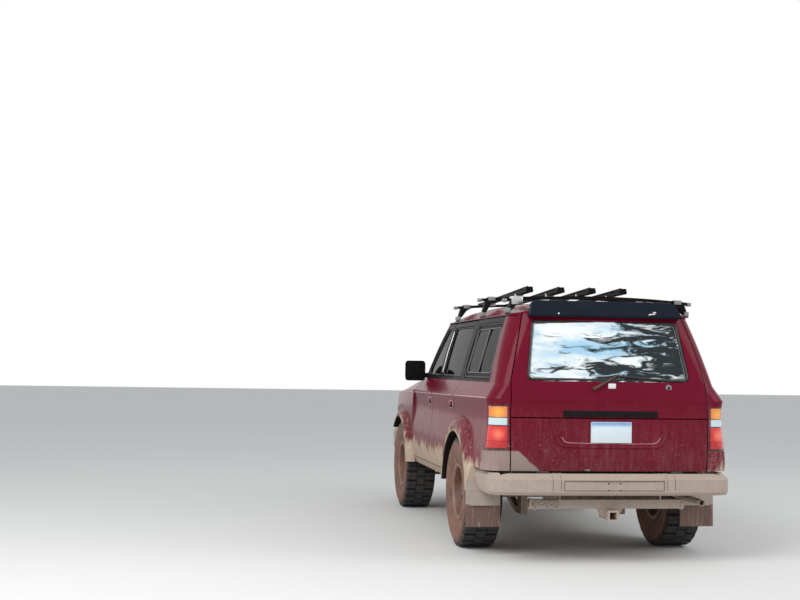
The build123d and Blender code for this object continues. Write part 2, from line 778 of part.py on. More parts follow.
# Engine bay: aprons with their shelves under the fenders, and the radiator support
support_low_z = 690
apron_low_z = 780
radiator_window_x = 350
radiator_window_z = (700, 1040)
with BuildPart() as engine_bay:
    shelf_rear_y = fender_rear_y - 60
    for side in (1, -1):
        wall = tuple(sorted((side * apron_x[0], side * apron_x[1])))
        add(block(wall, (radiator_y[0], firewall_y[0]), (apron_low_z, shelf_z[1])))
        shelf = [
            (apron_x[0], front_panel_y + 4), (800, front_panel_y + 4), (shelf_x, -1940),
            (shelf_x, shelf_rear_y), (apron_x[0], shelf_rear_y),
        ]
        add(plan_prism([(side * x, y) for x, y in shelf], *shelf_z))
    add(block((-720, 720), radiator_y, (support_low_z, shelf_z[1])))
    through_y = (radiator_y[0] - 5, radiator_y[1] + 5)
    add(block((-radiator_window_x, radiator_window_x), through_y, radiator_window_z), mode=Mode.SUBTRACT)
keep("engine_bay", engine_bay.part)

# Spoiler over the hatch, cut back to the hatch's skin
spoiler_front_y = hatch_front_y + 6
spoiler_side = [
    (spoiler_front_y, 1860), (spoiler_front_y, 1900), (2112, 1897), (2186, 1792), (2176, 1776), (2100, 1780),
]
spoiler_rear = [(584, 1770), (548, 1880), (480, 1920)]
with BuildPart() as spoiler:
    add(side_prism(spoiler_side, -640, 640))
    add(end_prism(mirrored(spoiler_rear), 2000, 2300), mode=Mode.INTERSECT)
    add(cab_skin, mode=Mode.SUBTRACT)
keep("spoiler", spoiler.part)

# Bumpers: thin shells with rounded corners
bumper_wall = 8
bumper_half = 899
bumper_bow = 34
bumper_corner_r = 130
rear_bumper_tail = quarter_tail_y + 12
# height, inset from the outermost line
rear_bumper_levels = [(500, 16), (522, 0), (612, 0), (650, 58)]
front_bumper_tail = -2038
front_bumper_levels = [(540, 16), (562, 0), (716, 0), (758, 52)]


def bumper_form(levels, tail_y, face_y, t):
    """A bumper as a solid, t inside its skin, from its tails to its bowed face."""
    sign = 1 if face_y > 0 else -1
    with BuildPart() as form:
        for z, inset in levels:
            x = bumper_half - inset * 0.4 - t
            face = face_y - sign * (inset + t)
            tail = tail_y - sign * (30 if t else 0)
            with BuildSketch(Plane.XY.offset(z - t)) as outline:
                with BuildLine():
                    ThreePointArc((x, face - sign * bumper_bow), (0, face), (-x, face - sign * bumper_bow))
                    bow_y = face - sign * bumper_bow
                    Polyline((-x, bow_y), (-x, tail), (x, tail), (x, bow_y))
                make_face()
                corners = [v for v in outline.vertices() if abs(v.Y) > abs(tail) + 1]
                fillet(corners, radius=bumper_corner_r - t)
        loft(ruled=True)
    return form.part


def bumper(levels, tail_y, face_y, cutaway):
    """The bumper's shell, open towards the body and below."""
    with BuildPart() as shell:
        add(bumper_form(levels, tail_y, face_y, 0))
        add(bumper_form(levels, tail_y, face_y, bumper_wall), mode=Mode.SUBTRACT)
        add(cutaway, mode=Mode.SUBTRACT)
    return shell.part


step_half = 372
step_bolts = (86, 49)
step_z = 560
step_bolt_r = 6
bumper_face_y = rear_y
rear_cutaway = block((-820, 820), (1700, 2326), (400, 700))
swept_end = skirt_prism(shut_gap)
with BuildPart() as rear_bumper:
    add(bumper(rear_bumper_levels, rear_bumper_tail, bumper_face_y, rear_cutaway))
    add(swept_end, mode=Mode.SUBTRACT)
    add(mirror(swept_end, about=Plane.YZ), mode=Mode.SUBTRACT)
    for side in (1, -1):
        arm = tuple(sorted((side * 362, side * 428)))
        add(block(arm, (2290, 2392), (560, 600)))
    step_space = block((-step_half, step_half), (bumper_face_y - 11, bumper_face_y + 40), (530, 606))
    add(step_space, mode=Mode.SUBTRACT)
    add(block((-step_half, step_half), (bumper_face_y - 20, bumper_face_y - 11), (526, 608)))
    with Locations((0, bumper_face_y - 15, step_z)):
        bolt_corners = [(x * step_bolts[0] / 2, 0, z * step_bolts[1] / 2) for x in (1, -1) for z in (1, -1)]
        with Locations(bolt_corners):
            Cylinder(step_bolt_r, 60, rotation=(90, 0, 0), mode=Mode.SUBTRACT)
keep("rear_bumper", rear_bumper.part)

front_cutaway = block((-826, 826), (-2290, -1900), (400, 800))
with BuildPart() as front_bumper:
    add(bumper(front_bumper_levels, front_bumper_tail, front_y, front_cutaway))
    add(block((-360, 360), (front_y - 60, front_y + 70), (590, 680)), mode=Mode.SUBTRACT)
    for side in (1, -1):
        arm = tuple(sorted((side * 362, side * 428)))
        add(block(arm, (front_y + 10, -2290), (600, 660)))
keep("front_bumper", front_bumper.part)

# Chassis frame: two rails with a kick-up over each axle, and cross members
rail_x = (360, 430)
rail_h = 120
# place along the vehicle, underside of the rail
rail_line = [
    (-2290, 560), (-1990, 560), (-1810, 650), (-1270, 650), (-1040, 500), (850, 500),
    (1010, 650), (1600, 650), (1800, 530), (2290, 530),
]
rail_low_z = 500
rail_kick_z = 650
rail_end_z = 560
rail_tail_z = 530
members = [
    # from, to, underside, depth
    (-2240, -2170, rail_end_z, 80), (-360, -290, rail_low_z - 30, 30), (870, 930, 520, 90),
    (1640, 1700, 600, 60), (2215, 2285, rail_tail_z, 80),
]
with BuildPart() as chassis_frame:
    rail = rail_line + [(y, z + rail_h) for y, z in reversed(rail_line)]
    for side in (1, -1):
        lo, hi = sorted((side * rail_x[0], side * rail_x[1]))
        add(side_prism(rail, lo, hi))
        with Locations((side * (rail_x[0] + 35), (radiator_y[0] + radiator_y[1]) / 2, support_low_z - 5)):
            Cylinder(30, 10)
        body_mounts = [(-800, floor_z[0]), (-200, floor_z[0]), (400, floor_z[0]), (1300, load_floor_z[0])]
        for mount_y, top_z in body_mounts:
            with Locations((side * (rail_x[0] + 35), mount_y, top_z - 2.5)):
                Cylinder(30, 5)
        damper_mount = tuple(sorted((side * rail_x[1], side * 510)))
        for at in (front_axle_y + 60, rear_axle_y - 120):
            add(block(damper_mount, (at, at + 60), (rail_kick_z + 90, rail_kick_z + rail_h)))
        for at in (-760, 605):
            add(block(tuple(sorted((side * 375, side * 425))), (at, at + 70), (430, rail_low_z)))
    for lo, hi, z, depth in members:
        reach_x = rail_x[1] if z < rail_low_z else rail_x[0]
        add(block((-reach_x, reach_x), (lo, hi), (z, z + depth)))
keep("chassis_frame", chassis_frame.part)

# Tow hitch: cross tube under the rear bumper, receiver and its plates
receiver_inner = 51
receiver_wall = 6.35
receiver_half = receiver_inner / 2 + receiver_wall
receiver_z = 352
receiver_y = (2140, 2372)
hitch_tube_z = (398, 462)
hitch_tube_y = (2238, 2302)
hitch_pin_r = 8
hitch_pin_y = receiver_y[1] - 52
hitch_tube_x = (-545, 600)
collar_half = receiver_half + 6
collar_length = 18
receiver_z_span = (receiver_z - receiver_half, receiver_z + receiver_half)
receiver_block = block((-receiver_half, receiver_half), receiver_y, receiver_z_span)
with BuildPart() as tow_hitch:
    add(block(hitch_tube_x, hitch_tube_y, hitch_tube_z))
    for side in (1, -1):
        plate = tuple(sorted((side * (rail_x[0] + 10), side * (rail_x[0] + 20))))
        add(block(plate, (2190, hitch_tube_y[1]), (hitch_tube_z[0], rail_tail_z)))
    web_top, web_low = hitch_tube_z[0] + 4, receiver_z - 20
    web = [(-95, web_top), (-58, web_low), (58, web_low), (95, web_top)]
    add(end_prism(web, 2256, 2296))
    add(receiver_block, mode=Mode.SUBTRACT)
keep("tow_hitch", tow_hitch.part)

# Square receiver with a collar round its mouth and a cross hole for the pin
with BuildPart() as receiver_tube:
    add(receiver_block)
    collar = (receiver_z - collar_half, receiver_z + collar_half)
    add(block((-collar_half, collar_half), (receiver_y[1] - collar_length, receiver_y[1]), collar))
    bore = receiver_inner / 2
    add(block((-bore, bore), (2090, 2400), (receiver_z - bore, receiver_z + bore)), mode=Mode.SUBTRACT)
    with Locations((0, hitch_pin_y, receiver_z)):
        Cylinder(hitch_pin_r, 200, rotation=(0, 90, 0), mode=Mode.SUBTRACT)
keep("receiver_tube", receiver_tube.part)

# Axles
tube_r = 45
axle_end_x = 655
diff_r = 112
pinion_r = 55
pinion_reach = 270
front_diff_x = -180
rear_diff_x = -60
perch_z = tyre_r + tube_r + 10
perch_r = 64
link_seat_z = 300
spring_x = 395
damper_x = 470


def axle_housing(axle_y, diff_x, pinion_sign, end_x):
    """Axle tube with its differential, pinion nose, spring perches and damper ears."""
    with BuildPart() as housing:
        with Locations((0, axle_y, tyre_r)):
            Cylinder(tube_r, 2 * end_x, rotation=(0, 90, 0))
        with Locations((diff_x, axle_y, tyre_r)):
            Sphere(diff_r)
        with Locations((diff_x, axle_y + pinion_sign * pinion_reach / 2, tyre_r + 6)):
            Cylinder(pinion_r, pinion_reach, rotation=(90, 0, 0))
        for side in (1, -1):
            with Locations((side * spring_x, axle_y, tyre_r + (tube_r + 10) / 2)):
                Cylinder(perch_r, tube_r + 10)
            link_x = tuple(sorted((side * 375, side * 425)))
            add(block(link_x, (axle_y - 60, axle_y + 60), (link_seat_z, tyre_r)))
            ear_y = tuple(sorted((axle_y + pinion_sign * 30, axle_y + pinion_sign * 120)))
            ear_x = tuple(sorted((side * (damper_x - 25), side * (damper_x + 25))))
            add(block(ear_x, ear_y, (tyre_r - 15, tyre_r + 10)))
    return housing.part


pin_gap = 0.3
pin_depth = 20
with BuildPart() as front_axle:
    add(axle_housing(front_axle_y, front_diff_x, 1, axle_end_x))
    for side in (1, -1):
        with Locations((side * kingpin_x, front_axle_y, tyre_r)):
            Sphere(ball_r)
        for sign in (1, -1):
            with Locations((side * kingpin_x, front_axle_y, tyre_r + sign * (pin_depth + 20))):
                Cylinder(kingpin_r + pin_gap, 44, mode=Mode.SUBTRACT)
keep("front_axle", front_axle.part)

backing_x = (768, 774)
hub_x = (777, 852)
spindle_end_x = 838
with BuildPart() as rear_axle:
    add(axle_housing(rear_axle_y, rear_diff_x, -1, backing_x[0]))
    for side in (1, -1):
        plate = tuple(sorted((side * backing_x[0], side * backing_x[1])))
        spindle = tuple(sorted((side * backing_x[0], side * spindle_end_x)))
        add(disc_x(disc_r + 6, *plate, rear_axle_y, tyre_r))
        add(disc_x(spindle_r, *spindle, rear_axle_y, tyre_r))
keep("rear_axle", rear_axle.part)

# Steering knuckles: arms over and under the ball, backing plate, spindle and steering arm
steer_y = front_axle_y + steer_arm
steer_z = tyre_r - steer_drop
with BuildPart() as knuckle:
    upright_x = (755, backing_x[0])
    arm_z = 62
    add(block(upright_x, (front_axle_y - 38, front_axle_y + 38), (tyre_r - 98, tyre_r + 98)))
    for sign in (1, -1):
        arm = tuple(sorted((tyre_r + sign * arm_z, tyre_r + sign * (arm_z + 34))))
        pin = tuple(sorted((sign * pin_depth, sign * (arm_z + 4))))
        add(block((kingpin_x - 26, upright_x[1]), (front_axle_y - 28, front_axle_y + 28), arm))
        with Locations((kingpin_x, front_axle_y, tyre_r + (pin[0] + pin[1]) / 2)):
            Cylinder(kingpin_r, pin[1] - pin[0])
    add(disc_x(disc_r + 6, *backing_x, front_axle_y, tyre_r))
    add(disc_x(spindle_r, backing_x[0], spindle_end_x, front_axle_y, tyre_r))
    pin_block_x, pin_block_y = (kingpin_x - 16, kingpin_x + 16), (front_axle_y + 20, front_axle_y + 60)
    add(block(pin_block_x, pin_block_y, (tyre_r - 96, tyre_r - 60)))
    add(block((kingpin_x - 16, kingpin_x + 16), (front_axle_y + 44, steer_y), (steer_z - 15, steer_z + 9)))
    with Locations((kingpin_x, steer_y, steer_z - 3)):
        Cylinder(20, 24)
        Cylinder(8 + pin_gap, 40, mode=Mode.SUBTRACT)
keep_both("knuckle", knuckle.part)

# Track rod under the knuckles' eyes
with BuildPart() as track_rod:
    add(disc_x(track_rod_r, -kingpin_x - 12, kingpin_x + 12, steer_y, steer_z - 30))
    with Locations([(side * kingpin_x, steer_y, steer_z - 12) for side in (1, -1)]):
        Cylinder(8, 48)
keep("track_rod", track_rod.part)

# Wheels: tyre and rim, made at the left rear and mirrored or moved to the other places
rim_in_r = rim_flange_r - 32
nut_circle_r = 69.85
window_circle_r = 134
tread_depth = 13
lug_count = 28
lug_gap = 24
lug_root_x = 36
# distance from the tyre's middle plane, radius at the corners of its facets
tread_rows = [(149, 368), (126, tyre_r)]
sidewall_rows = [(151, 374), (135, 280), (112, bead_r + 1.7)]


def lathe(points, y, z, x):
    """A ring or disc turned about the wheel's axis from (x, r) points."""
    with BuildPart() as solid:
        with BuildSketch(Plane(origin=(x, y, z), x_dir=(1, 0, 0), z_dir=(0, -1, 0))):
            with BuildLine():
                Polyline(*points, close=True)
            make_face()
        revolve(axis=Axis((x, y, z), (1, 0, 0)), revolution_arc=360)
    return solid.part


def facet_ring(rows, y, z, x):
    """A disc with a flat facet to each lug, through (x, radius) rows."""

    def corner(at, r, k):
        angle = radians(k * 360 / lug_count)
        return (x + at, y + r * cos(angle), z + r * sin(angle))

    faces = []
    for (at, r), (next_at, next_r) in zip(rows, rows[1:]):
        for k in range(lug_count):
            loop = [corner(at, r, k), corner(at, r, k + 1)]
            loop += [corner(next_at, next_r, k + 1), corner(next_at, next_r, k)]
            faces.append(Face(Wire.make_polygon(loop)))
    for at, r in (rows[0], rows[-1]):
        faces.append(Face(Wire.make_polygon([corner(at, r, k) for k in range(lug_count)])))
    return Solid(Shell(faces))


def wheel_tyre(axle_y):
    """Tyre of a left wheel, with a row of lugs on each shoulder. Its facets keep it light."""
    outer = tread_rows + [(-at, r) for at, r in reversed(tread_rows)]
    bore_r = sidewall_rows[-1][1]
    with BuildPart() as carcass:
        add(facet_ring(outer, axle_y, tyre_r, half_track))
        for side in (1, -1):
            hollow = [(side * at, r) for at, r in sidewall_rows]
            add(facet_ring(hollow, axle_y, tyre_r, half_track), mode=Mode.SUBTRACT)
        with BuildSketch(Plane(origin=(half_track, axle_y, tyre_r), x_dir=(0, 1, 0), z_dir=(1, 0, 0))):
            RegularPolygon(bore_r, lug_count)
        extrude(amount=tyre_half_width, both=True, mode=Mode.SUBTRACT)
    with BuildPart() as cross_grooves:
        reach = tyre_half_width - lug_root_x
        with Locations(Location((half_track, axle_y, tyre_r), (0, 90, 0))):
            with PolarLocations(tyre_r, lug_count, start_angle=180 / lug_count):
                with Locations([(0, 0, side * (lug_root_x + reach / 2)) for side in (1, -1)]):
                    Box(2 * tread_depth, lug_gap, reach)
    return carcass.part - cross_grooves.part


rim_barrel = [
    (-rim_half_width - 6, rim_flange_r), (-rim_half_width, rim_flange_r), (-rim_half_width, bead_r + 0.2),
    (rim_half_width, bead_r + 0.2), (rim_half_width, rim_flange_r), (rim_half_width + 6, rim_flange_r),
    (rim_half_width + 6, rim_in_r + 6), (rim_half_width - 4, rim_in_r), (-rim_half_width - 6, rim_in_r),
]
rim_disc = [
    (20, 30.5), (45, 30.5), (45, 84), (66, 110), (66, 158), (56, 192),
    (42, 192), (48, 152), (48, 114), (28, 88), (20, 70),
]


def wheel_rim(axle_y):
    """Rim of a left wheel, with its hub and brake disc."""
    with BuildPart() as rim:
        add(lathe(rim_barrel, axle_y, tyre_r, half_track))
        add(lathe(rim_disc, axle_y, tyre_r, half_track))
        add(ring_x(hub_r, spindle_r + fit_gap, hub_x[0], hub_x[1], axle_y, tyre_r))
        add(ring_x(disc_r, hub_r - 4, hub_x[0] + 2, hub_x[0] + 10, axle_y, tyre_r))
        add(disc_x(46, spindle_end_x + fit_gap, hub_x[1] + 14, axle_y, tyre_r))
        with Locations(Location((0, axle_y, tyre_r), (0, 90, 0))):
            with PolarLocations(window_circle_r, 6):
                with Locations((0, 0, half_track + 57)):
                    Cylinder(29, 60, mode=Mode.SUBTRACT)
            with PolarLocations(nut_circle_r, 6):
                with Locations((0, 0, half_track + 48)):
                    Cylinder(11, 24)
    return rim.part


front_tyre = wheel_tyre(front_axle_y)
front_rim = wheel_rim(front_axle_y)
for end, moved in (("front", 0), ("rear", wheelbase)):
    keep_both(f"tyre_{end}", Pos(0, moved, 0) * front_tyre)
    keep_both(f"rim_{end}", Pos(0, moved, 0) * front_rim)

# Engine, gearbox and transfer case as plain blocks
engine_half = 260
engine_y = (-1950, -1100)
gearbox_y = (-1100, -50)
gearbox_z = (rail_low_z, floor_z[0] - 5)
transfer_y = (-350, gearbox_y[1])
with BuildPart() as engine_block:
    add(block((-engine_half, engine_half), engine_y, (560, 1080)))
    add(block((-130, 130), gearbox_y, gearbox_z))
    add(block((-230, 130), transfer_y, gearbox_z))
    for side in (1, -1):
        add(block(tuple(sorted((side * engine_half, side * rail_x[0]))), (-1560, -1480), (670, 720)))
keep("engine_block", engine_block.part)

with BuildPart() as fuel_tank:
    add(block((-380, 380), (1830, 2180), (410, rail_tail_z)))
    tank_edges = fuel_tank.edges().filter_by(Axis.X)
    fillet(tank_edges.group_by(Axis.Z)[0], radius=40)
keep("fuel_tank", fuel_tank.part)


def tube_run(points, r):
    """A round tube through the given points, solid, with ball corners."""
    with BuildPart() as run:
        for a, b in zip(points, points[1:]):
            start, end = Vector(*a), Vector(*b)
            with BuildSketch(Plane(origin=start, z_dir=end - start)):
                Circle(r)
            extrude(amount=(end - start).length)
        for corner in points[1:-1]:
            with Locations(corner):
                Sphere(r)
    return run.part


# Exhaust: down pipe, silencer, over the rear axle and out behind the right mud flap
pipe_r = 24
pipe_bore_r = 21
silencer = (-540, 300, 500)
silencer_r = 74
silencer_length = 600
tip = (-671, 2355, 444)
down_pipe = [
    (-235, engine_y[1], 590), (-300, -1000, 560), (-300, -700, 452), (-540, -420, 452), (-540, -100, 500),
    (-540, 700, 500), (-540, 900, 545), (-540, 1540, 545), (-671, 1850, 450), tip,
]
with BuildPart() as exhaust:
    add(tube_run(down_pipe, pipe_r))
    add(block((-800, 0), (engine_y[0], engine_y[1]), (400, 700)), mode=Mode.SUBTRACT)
    with Locations(silencer):
        Cylinder(silencer_r, silencer_length, rotation=(90, 0, 0))
    with Locations(tip):
        Cylinder(pipe_bore_r, 160, rotation=(90, 0, 0), mode=Mode.SUBTRACT)
keep("exhaust", exhaust.part)

# Suspension links, one pair to each axle, in (Y, Z)
link_x = (375, 425)
front_link = [
    (front_axle_y - 60, 300), (-1400, 300), (-770, 430), (-690, 430), (-690, 385), (-760, 385),
    (-1400, 250), (front_axle_y - 60, 250),
]
rear_link = [
    (rear_axle_y + 60, 300), (1170, 300), (675, 430), (605, 430), (605, 385), (665, 385),
    (1170, 250), (rear_axle_y + 60, 250),
]
with BuildPart() as suspension_links:
    for side in (1, -1):
        for outline in (front_link, rear_link):
            add(side_prism(outline, *sorted((side * link_x[0], side * link_x[1]))))
keep("suspension_links", suspension_links.part)

coil_r = (46, 58)
coil_turns = 5
damper_r = 25
damper_rod_r = 11
damper_rod_z = 620


def coil_spring(x, y, low, high):
    """A coil spring with its turns as ridges round a solid core, between perch and rail."""
    pitch = (high - low) / coil_turns
    side = [(coil_r[1], low), (coil_r[1], low + pitch * 0.12)]
    for k in range(coil_turns - 1):
        side.append((coil_r[0], low + (k + 0.5) * pitch))
        side.append((coil_r[1], low + (k + 1) * pitch))
    side.append((coil_r[0], high - 0.5 * pitch))
    side.append((coil_r[1], high - 0.12 * pitch))
    side.append((coil_r[1], high))
    with BuildPart() as coil:
        with BuildSketch(Plane(origin=(x, y, 0), x_dir=(1, 0, 0), z_dir=(0, -1, 0))):
            with BuildLine():
                Polyline((0, low), *side, (0, high), close=True)
            make_face()
        revolve(axis=Axis((x, y, 0), (0, 0, 1)), revolution_arc=360)
    return coil.part


damper_z = (tyre_r + 10, rail_kick_z + 90)
with BuildPart() as springs_dampers:
    for axle_y in (front_axle_y, rear_axle_y):
        spring = coil_spring(spring_x, axle_y, perch_z, rail_kick_z)
        add(spring)
        add(mirror(spring, about=Plane.YZ))
    for side in (1, -1):
        for damper_y in (front_axle_y + 90, rear_axle_y - 90):
            with Locations((side * damper_x, damper_y, (damper_z[0] + damper_rod_z) / 2)):
                Cylinder(damper_r, damper_rod_z - damper_z[0])
            with Locations((side * damper_x, damper_y, sum(damper_z) / 2)):
                Cylinder(damper_rod_r, damper_z[1] - damper_z[0])
keep("springs_dampers", springs_dampers.part)

# Propeller shafts between the transfer case and each pinion
shaft_r = 25
joint_r = 36
pinion_z = tyre_r + 6
shaft_runs = [
    (front_diff_x, transfer_y[0], 540, front_axle_y + pinion_reach),
    (rear_diff_x, transfer_y[1], 550, rear_axle_y - pinion_reach),
]
with BuildPart() as prop_shafts:
    for x, case_y, case_z, axle_end in shaft_runs:
        step = 12 if axle_end > case_y else -12
        add(tube_run([(x, case_y, case_z), (x, case_y + step, case_z)], joint_r))
        add(tube_run([(x, axle_end, pinion_z), (x, axle_end - step, pinion_z)], joint_r))
        add(tube_run([(x, case_y + step / 2, case_z), (x, axle_end - step / 2, pinion_z)], shaft_r))
keep("prop_shafts", prop_shafts.part)

# Mud flaps behind the rear wheels
flap_x = (702, 965)
flap_y = (quarter_tail_y, quarter_tail_y + flap_thick)
flap_z = (212, 560)
flap_plate_x = (706, 936)
flap_plate_z = (372, sill_z - 6)
flap_plate = 14
with BuildPart() as mud_flaps:
    for side in (1, -1):
        add(block(tuple(sorted((side * flap_x[0], side * flap_x[1]))), flap_y, flap_z))
        plate = tuple(sorted((side * flap_plate_x[0], side * flap_plate_x[1])))
        add(block(plate, (flap_y[1], flap_y[1] + flap_plate), flap_plate_z))
keep("mud_flaps", mud_flaps.part)

# Door mirrors, cut back to the door's skin
mirror_y = (-835, -745)
mirror_head = (835, 1027)
mirror_z = (1262, 1450)
with BuildPart() as door_mirror:
    for y, inset in ((mirror_y[0], 34), (mirror_y[0] + 30, 8), (mirror_y[1], 0)):
        width = mirror_head[1] - mirror_head[0] - inset
        height = mirror_z[1] - mirror_z[0] - 2 * inset
        middle = (mirror_head[0] + width / 2, y, (mirror_z[0] + mirror_z[1]) / 2)
        with BuildSketch(Plane(origin=middle, x_dir=(1, 0, 0), z_dir=(0, -1, 0))):
            RectangleRounded(width, height, 30)
    loft(ruled=True)
    border = 12
    recess_x, recess_z = [(lo + border, hi - border) for lo, hi in (mirror_head, mirror_z)]
    recess = block(recess_x, (mirror_y[1] - 5, mirror_y[1] + 5), recess_z)
    add(recess, mode=Mode.SUBTRACT)
    add(block((770, 850), (mirror_y[0] + 20, mirror_y[1] - 20), (1290, 1336)))
    add(cab_skin, mode=Mode.SUBTRACT)
keep_both("mirror", door_mirror.part)

# Roof rack: three bowed bars that reach past their clamps at the gutter
bar_width = 34
bar_depth = 22
bar_rise = 47
bar_end_drop = 34
bar_half = 730
foot_x = 604
# place along the vehicle, roof height there
rack_bars = [(85, 1915.7), (1080, 1938.5), (1955, 1895.6)]


def bar_top(roof_z, x):
    """Height of a bar's upper face, x from the middle."""
    return roof_z + bar_rise - bar_end_drop * (x / bar_half) ** 2


with BuildPart() as roof_rack:
    for y, roof_z in rack_bars:
        mid_z, end_z = bar_top(roof_z, 0), bar_top(roof_z, bar_half)
        with BuildSketch(Plane(origin=(0, y - bar_width / 2, 0), x_dir=(1, 0, 0), z_dir=(0, -1, 0))):
            with BuildLine():
                ThreePointArc((-bar_half, end_z), (0, mid_z), (bar_half, end_z))
                Line((bar_half, end_z), (bar_half, end_z - bar_depth))
                low_end, low_mid = end_z - bar_depth, mid_z - bar_depth
                ThreePointArc((bar_half, low_end), (0, low_mid), (-bar_half, low_end))
                Line((-bar_half, end_z - bar_depth), (-bar_half, end_z))
            make_face()
        extrude(amount=-bar_width)
        crown_z = bar_top(roof_z, foot_x) + 4
        foot = [
            (694, gutter_z), (706, gutter_z), (668, crown_z - 22), (648, crown_z - 2),
            (foot_x - 22, crown_z),
            (foot_x - 22, crown_z - 28), (622, crown_z - 50),
        ]
        for side in (1, -1):
            add(end_prism([(side * x, z) for x, z in foot], y - 32, y + 32))
keep("roof_rack", roof_rack.part)

# Four carrier trays side by side on the front and middle bars, each with its arm folded down
tray_first_x = 395
tray_pitch = 255
tray_count = 4
tray_width = 60
tray_depth = 24
tray_wall = 5
tray_y = (-330, 1450)
saddle = (46, 64)
arm_r = 9
arm_foot_y = -180
head_length = 110
head_height = 44
(front_bar_y, front_bar_roof), (middle_bar_y, middle_bar_roof) = rack_bars[:2]
tray_slope = (middle_bar_roof - front_bar_roof) / (middle_bar_y - front_bar_y)
tray_base = 3


def tray_line(y):
    """Height of a tray's underside."""
    return front_bar_roof + bar_rise + tray_base + tray_slope * (y - front_bar_y)


tray_side = [(tray_y[0], tray_line(tray_y[0])), (tray_y[1], tray_line(tray_y[1]))]
tray_top = [(y, z + tray_depth) for y, z in reversed(tray_side)]
groove_low = [(y, z + tray_wall) for y, z in tray_side]
groove_top = [(y, z + tray_depth + 1) for y, z in reversed(tray_side)]
head_y = (tray_y[1] - head_length, tray_y[1])
head_low = tray_line(head_y[0])
arm_ends = [(arm_foot_y, tray_line(arm_foot_y) + tray_depth), (head_y[0] + 40, head_low + head_height)]
with BuildPart() as rack_trays:
    for k in range(tray_count):
        x = tray_first_x - k * tray_pitch
        inner = tray_width / 2 - tray_wall
        add(side_prism(tray_side + tray_top, x - tray_width / 2, x + tray_width / 2))
        add(side_prism(groove_low + groove_top, x - inner, x + inner), mode=Mode.SUBTRACT)
        for bar_y, roof_z in rack_bars[:2]:
            base = tray_line(bar_y)
            low = bar_top(roof_z, abs(x)) - bar_depth / 2
            span_x = (x - saddle[1] / 2, x + saddle[1] / 2)
            add(block(span_x, (bar_y - saddle[0] / 2, bar_y + saddle[0] / 2), (low, base + tray_wall)))
        add(block((x - inner - 1, x + inner + 1), head_y, (head_low + 2, head_low + head_height)))
        arm_foot_z = (arm_ends[0][1] - 22, arm_ends[0][1])
        add(block((x - inner - 1, x + inner + 1), (arm_foot_y - 40, arm_foot_y + 30), arm_foot_z))
        add(tube_run([(x, *arm_ends[0]), (x, *arm_ends[1])], arm_r))
    add(roof_rack.part, mode=Mode.SUBTRACT)
keep("rack_trays", rack_trays.part)

# Cabin: seats, dashboard with its steering column, steering wheel
seat_x = 370
front_seat = [
    (-280, 810), (-290, 900), (-265, 925), (110, 895), (270, 1400), (290, 1560), (350, 1590),
    (375, 1560), (350, 1400), (235, 860), (200, 810), (150, 810),
    (150, floor_z[1]), (-200, floor_z[1]), (-200, 810),
]
rear_seat = [
    (500, 790), (490, 880), (520, 905), (870, 880), (1000, 1330), (1080, 1330), (1000, 860),
    (945, 790), (828, 790), (828, floor_z[1]), (560, floor_z[1]), (560, 790),
]
rear_seat_half = 590
with BuildPart() as seats:
    for side in (1, -1):
        add(side_prism(front_seat, *sorted((side * (seat_x - 245), side * (seat_x + 245)))))
    for x in (-seat_x, seat_x):
        for edge in (-1, 1):
            cut_from, cut_to = sorted((x + edge * 130, x + edge * 260))
            add(block((cut_from, cut_to), (200, 420), (1410, 1600)), mode=Mode.SUBTRACT)
    add(side_prism(rear_seat, -rear_seat_half, rear_seat_half))
keep("seats", seats.part)

wheel_at = (seat_x, -420, 1130)
wheel_tilt = 25
wheel_ring_r = 185
wheel_grip_r = 14
column_r = 34
column_shaft_r = 12
column_along = (0, cos(radians(wheel_tilt)), sin(radians(wheel_tilt)))
column_plane = Plane(origin=wheel_at, x_dir=(1, 0, 0), z_dir=column_along)
dash_side = [(-868, 1000), (-868, 1192), (-700, 1216), (-610, 1182), (-570, 1060), (-600, 990)]
dash_half = 725
with BuildPart() as dashboard:
    add(side_prism(dash_side, -dash_half, dash_half))
    with BuildSketch(column_plane.offset(-52)):
        Circle(column_r)
    extrude(amount=-190)
    with BuildSketch(column_plane.offset(-52)):
        Circle(column_shaft_r + fit_gap)
    extrude(amount=-60, mode=Mode.SUBTRACT)
keep("dashboard", dashboard.part)

with BuildPart() as steering_wheel:
    with BuildSketch(Plane(origin=wheel_at, x_dir=column_plane.z_dir, z_dir=(1, 0, 0))):
        with Locations((0, wheel_ring_r)):
            Circle(wheel_grip_r)
    revolve(axis=Axis(wheel_at, tuple(column_plane.z_dir)), revolution_arc=360)
    with BuildSketch(column_plane.offset(-18)):
        Circle(62)
        for spoke_angle in (0, 90, 180):
            with Locations(Rotation(0, 0, spoke_angle)):
                with Locations((100, 0)):
                    Rectangle(170, 30)
    extrude(amount=24)
    with BuildSketch(column_plane.offset(-18)):
        Circle(column_shaft_r)
    extrude(amount=-90)
keep("steering_wheel", steering_wheel.part)
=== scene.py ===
# %% [markdown]
# # A lifted off-road wagon, dressed for its picture
#
# The CAD model gives every panel, wheel and shaft in its true size. This lesson adds what a camera
# sees on top of it: paint and dried mud, rubber seals, lamps, seats, a wiper and the rack's fittings.
# It starts by loading the CAD model as a fixed frame. Nothing in it is ever moved.

# %% Load the frame
import math

import bmesh
import bpy
from mathutils import Matrix, Vector
from mathutils.bvhtree import BVHTree


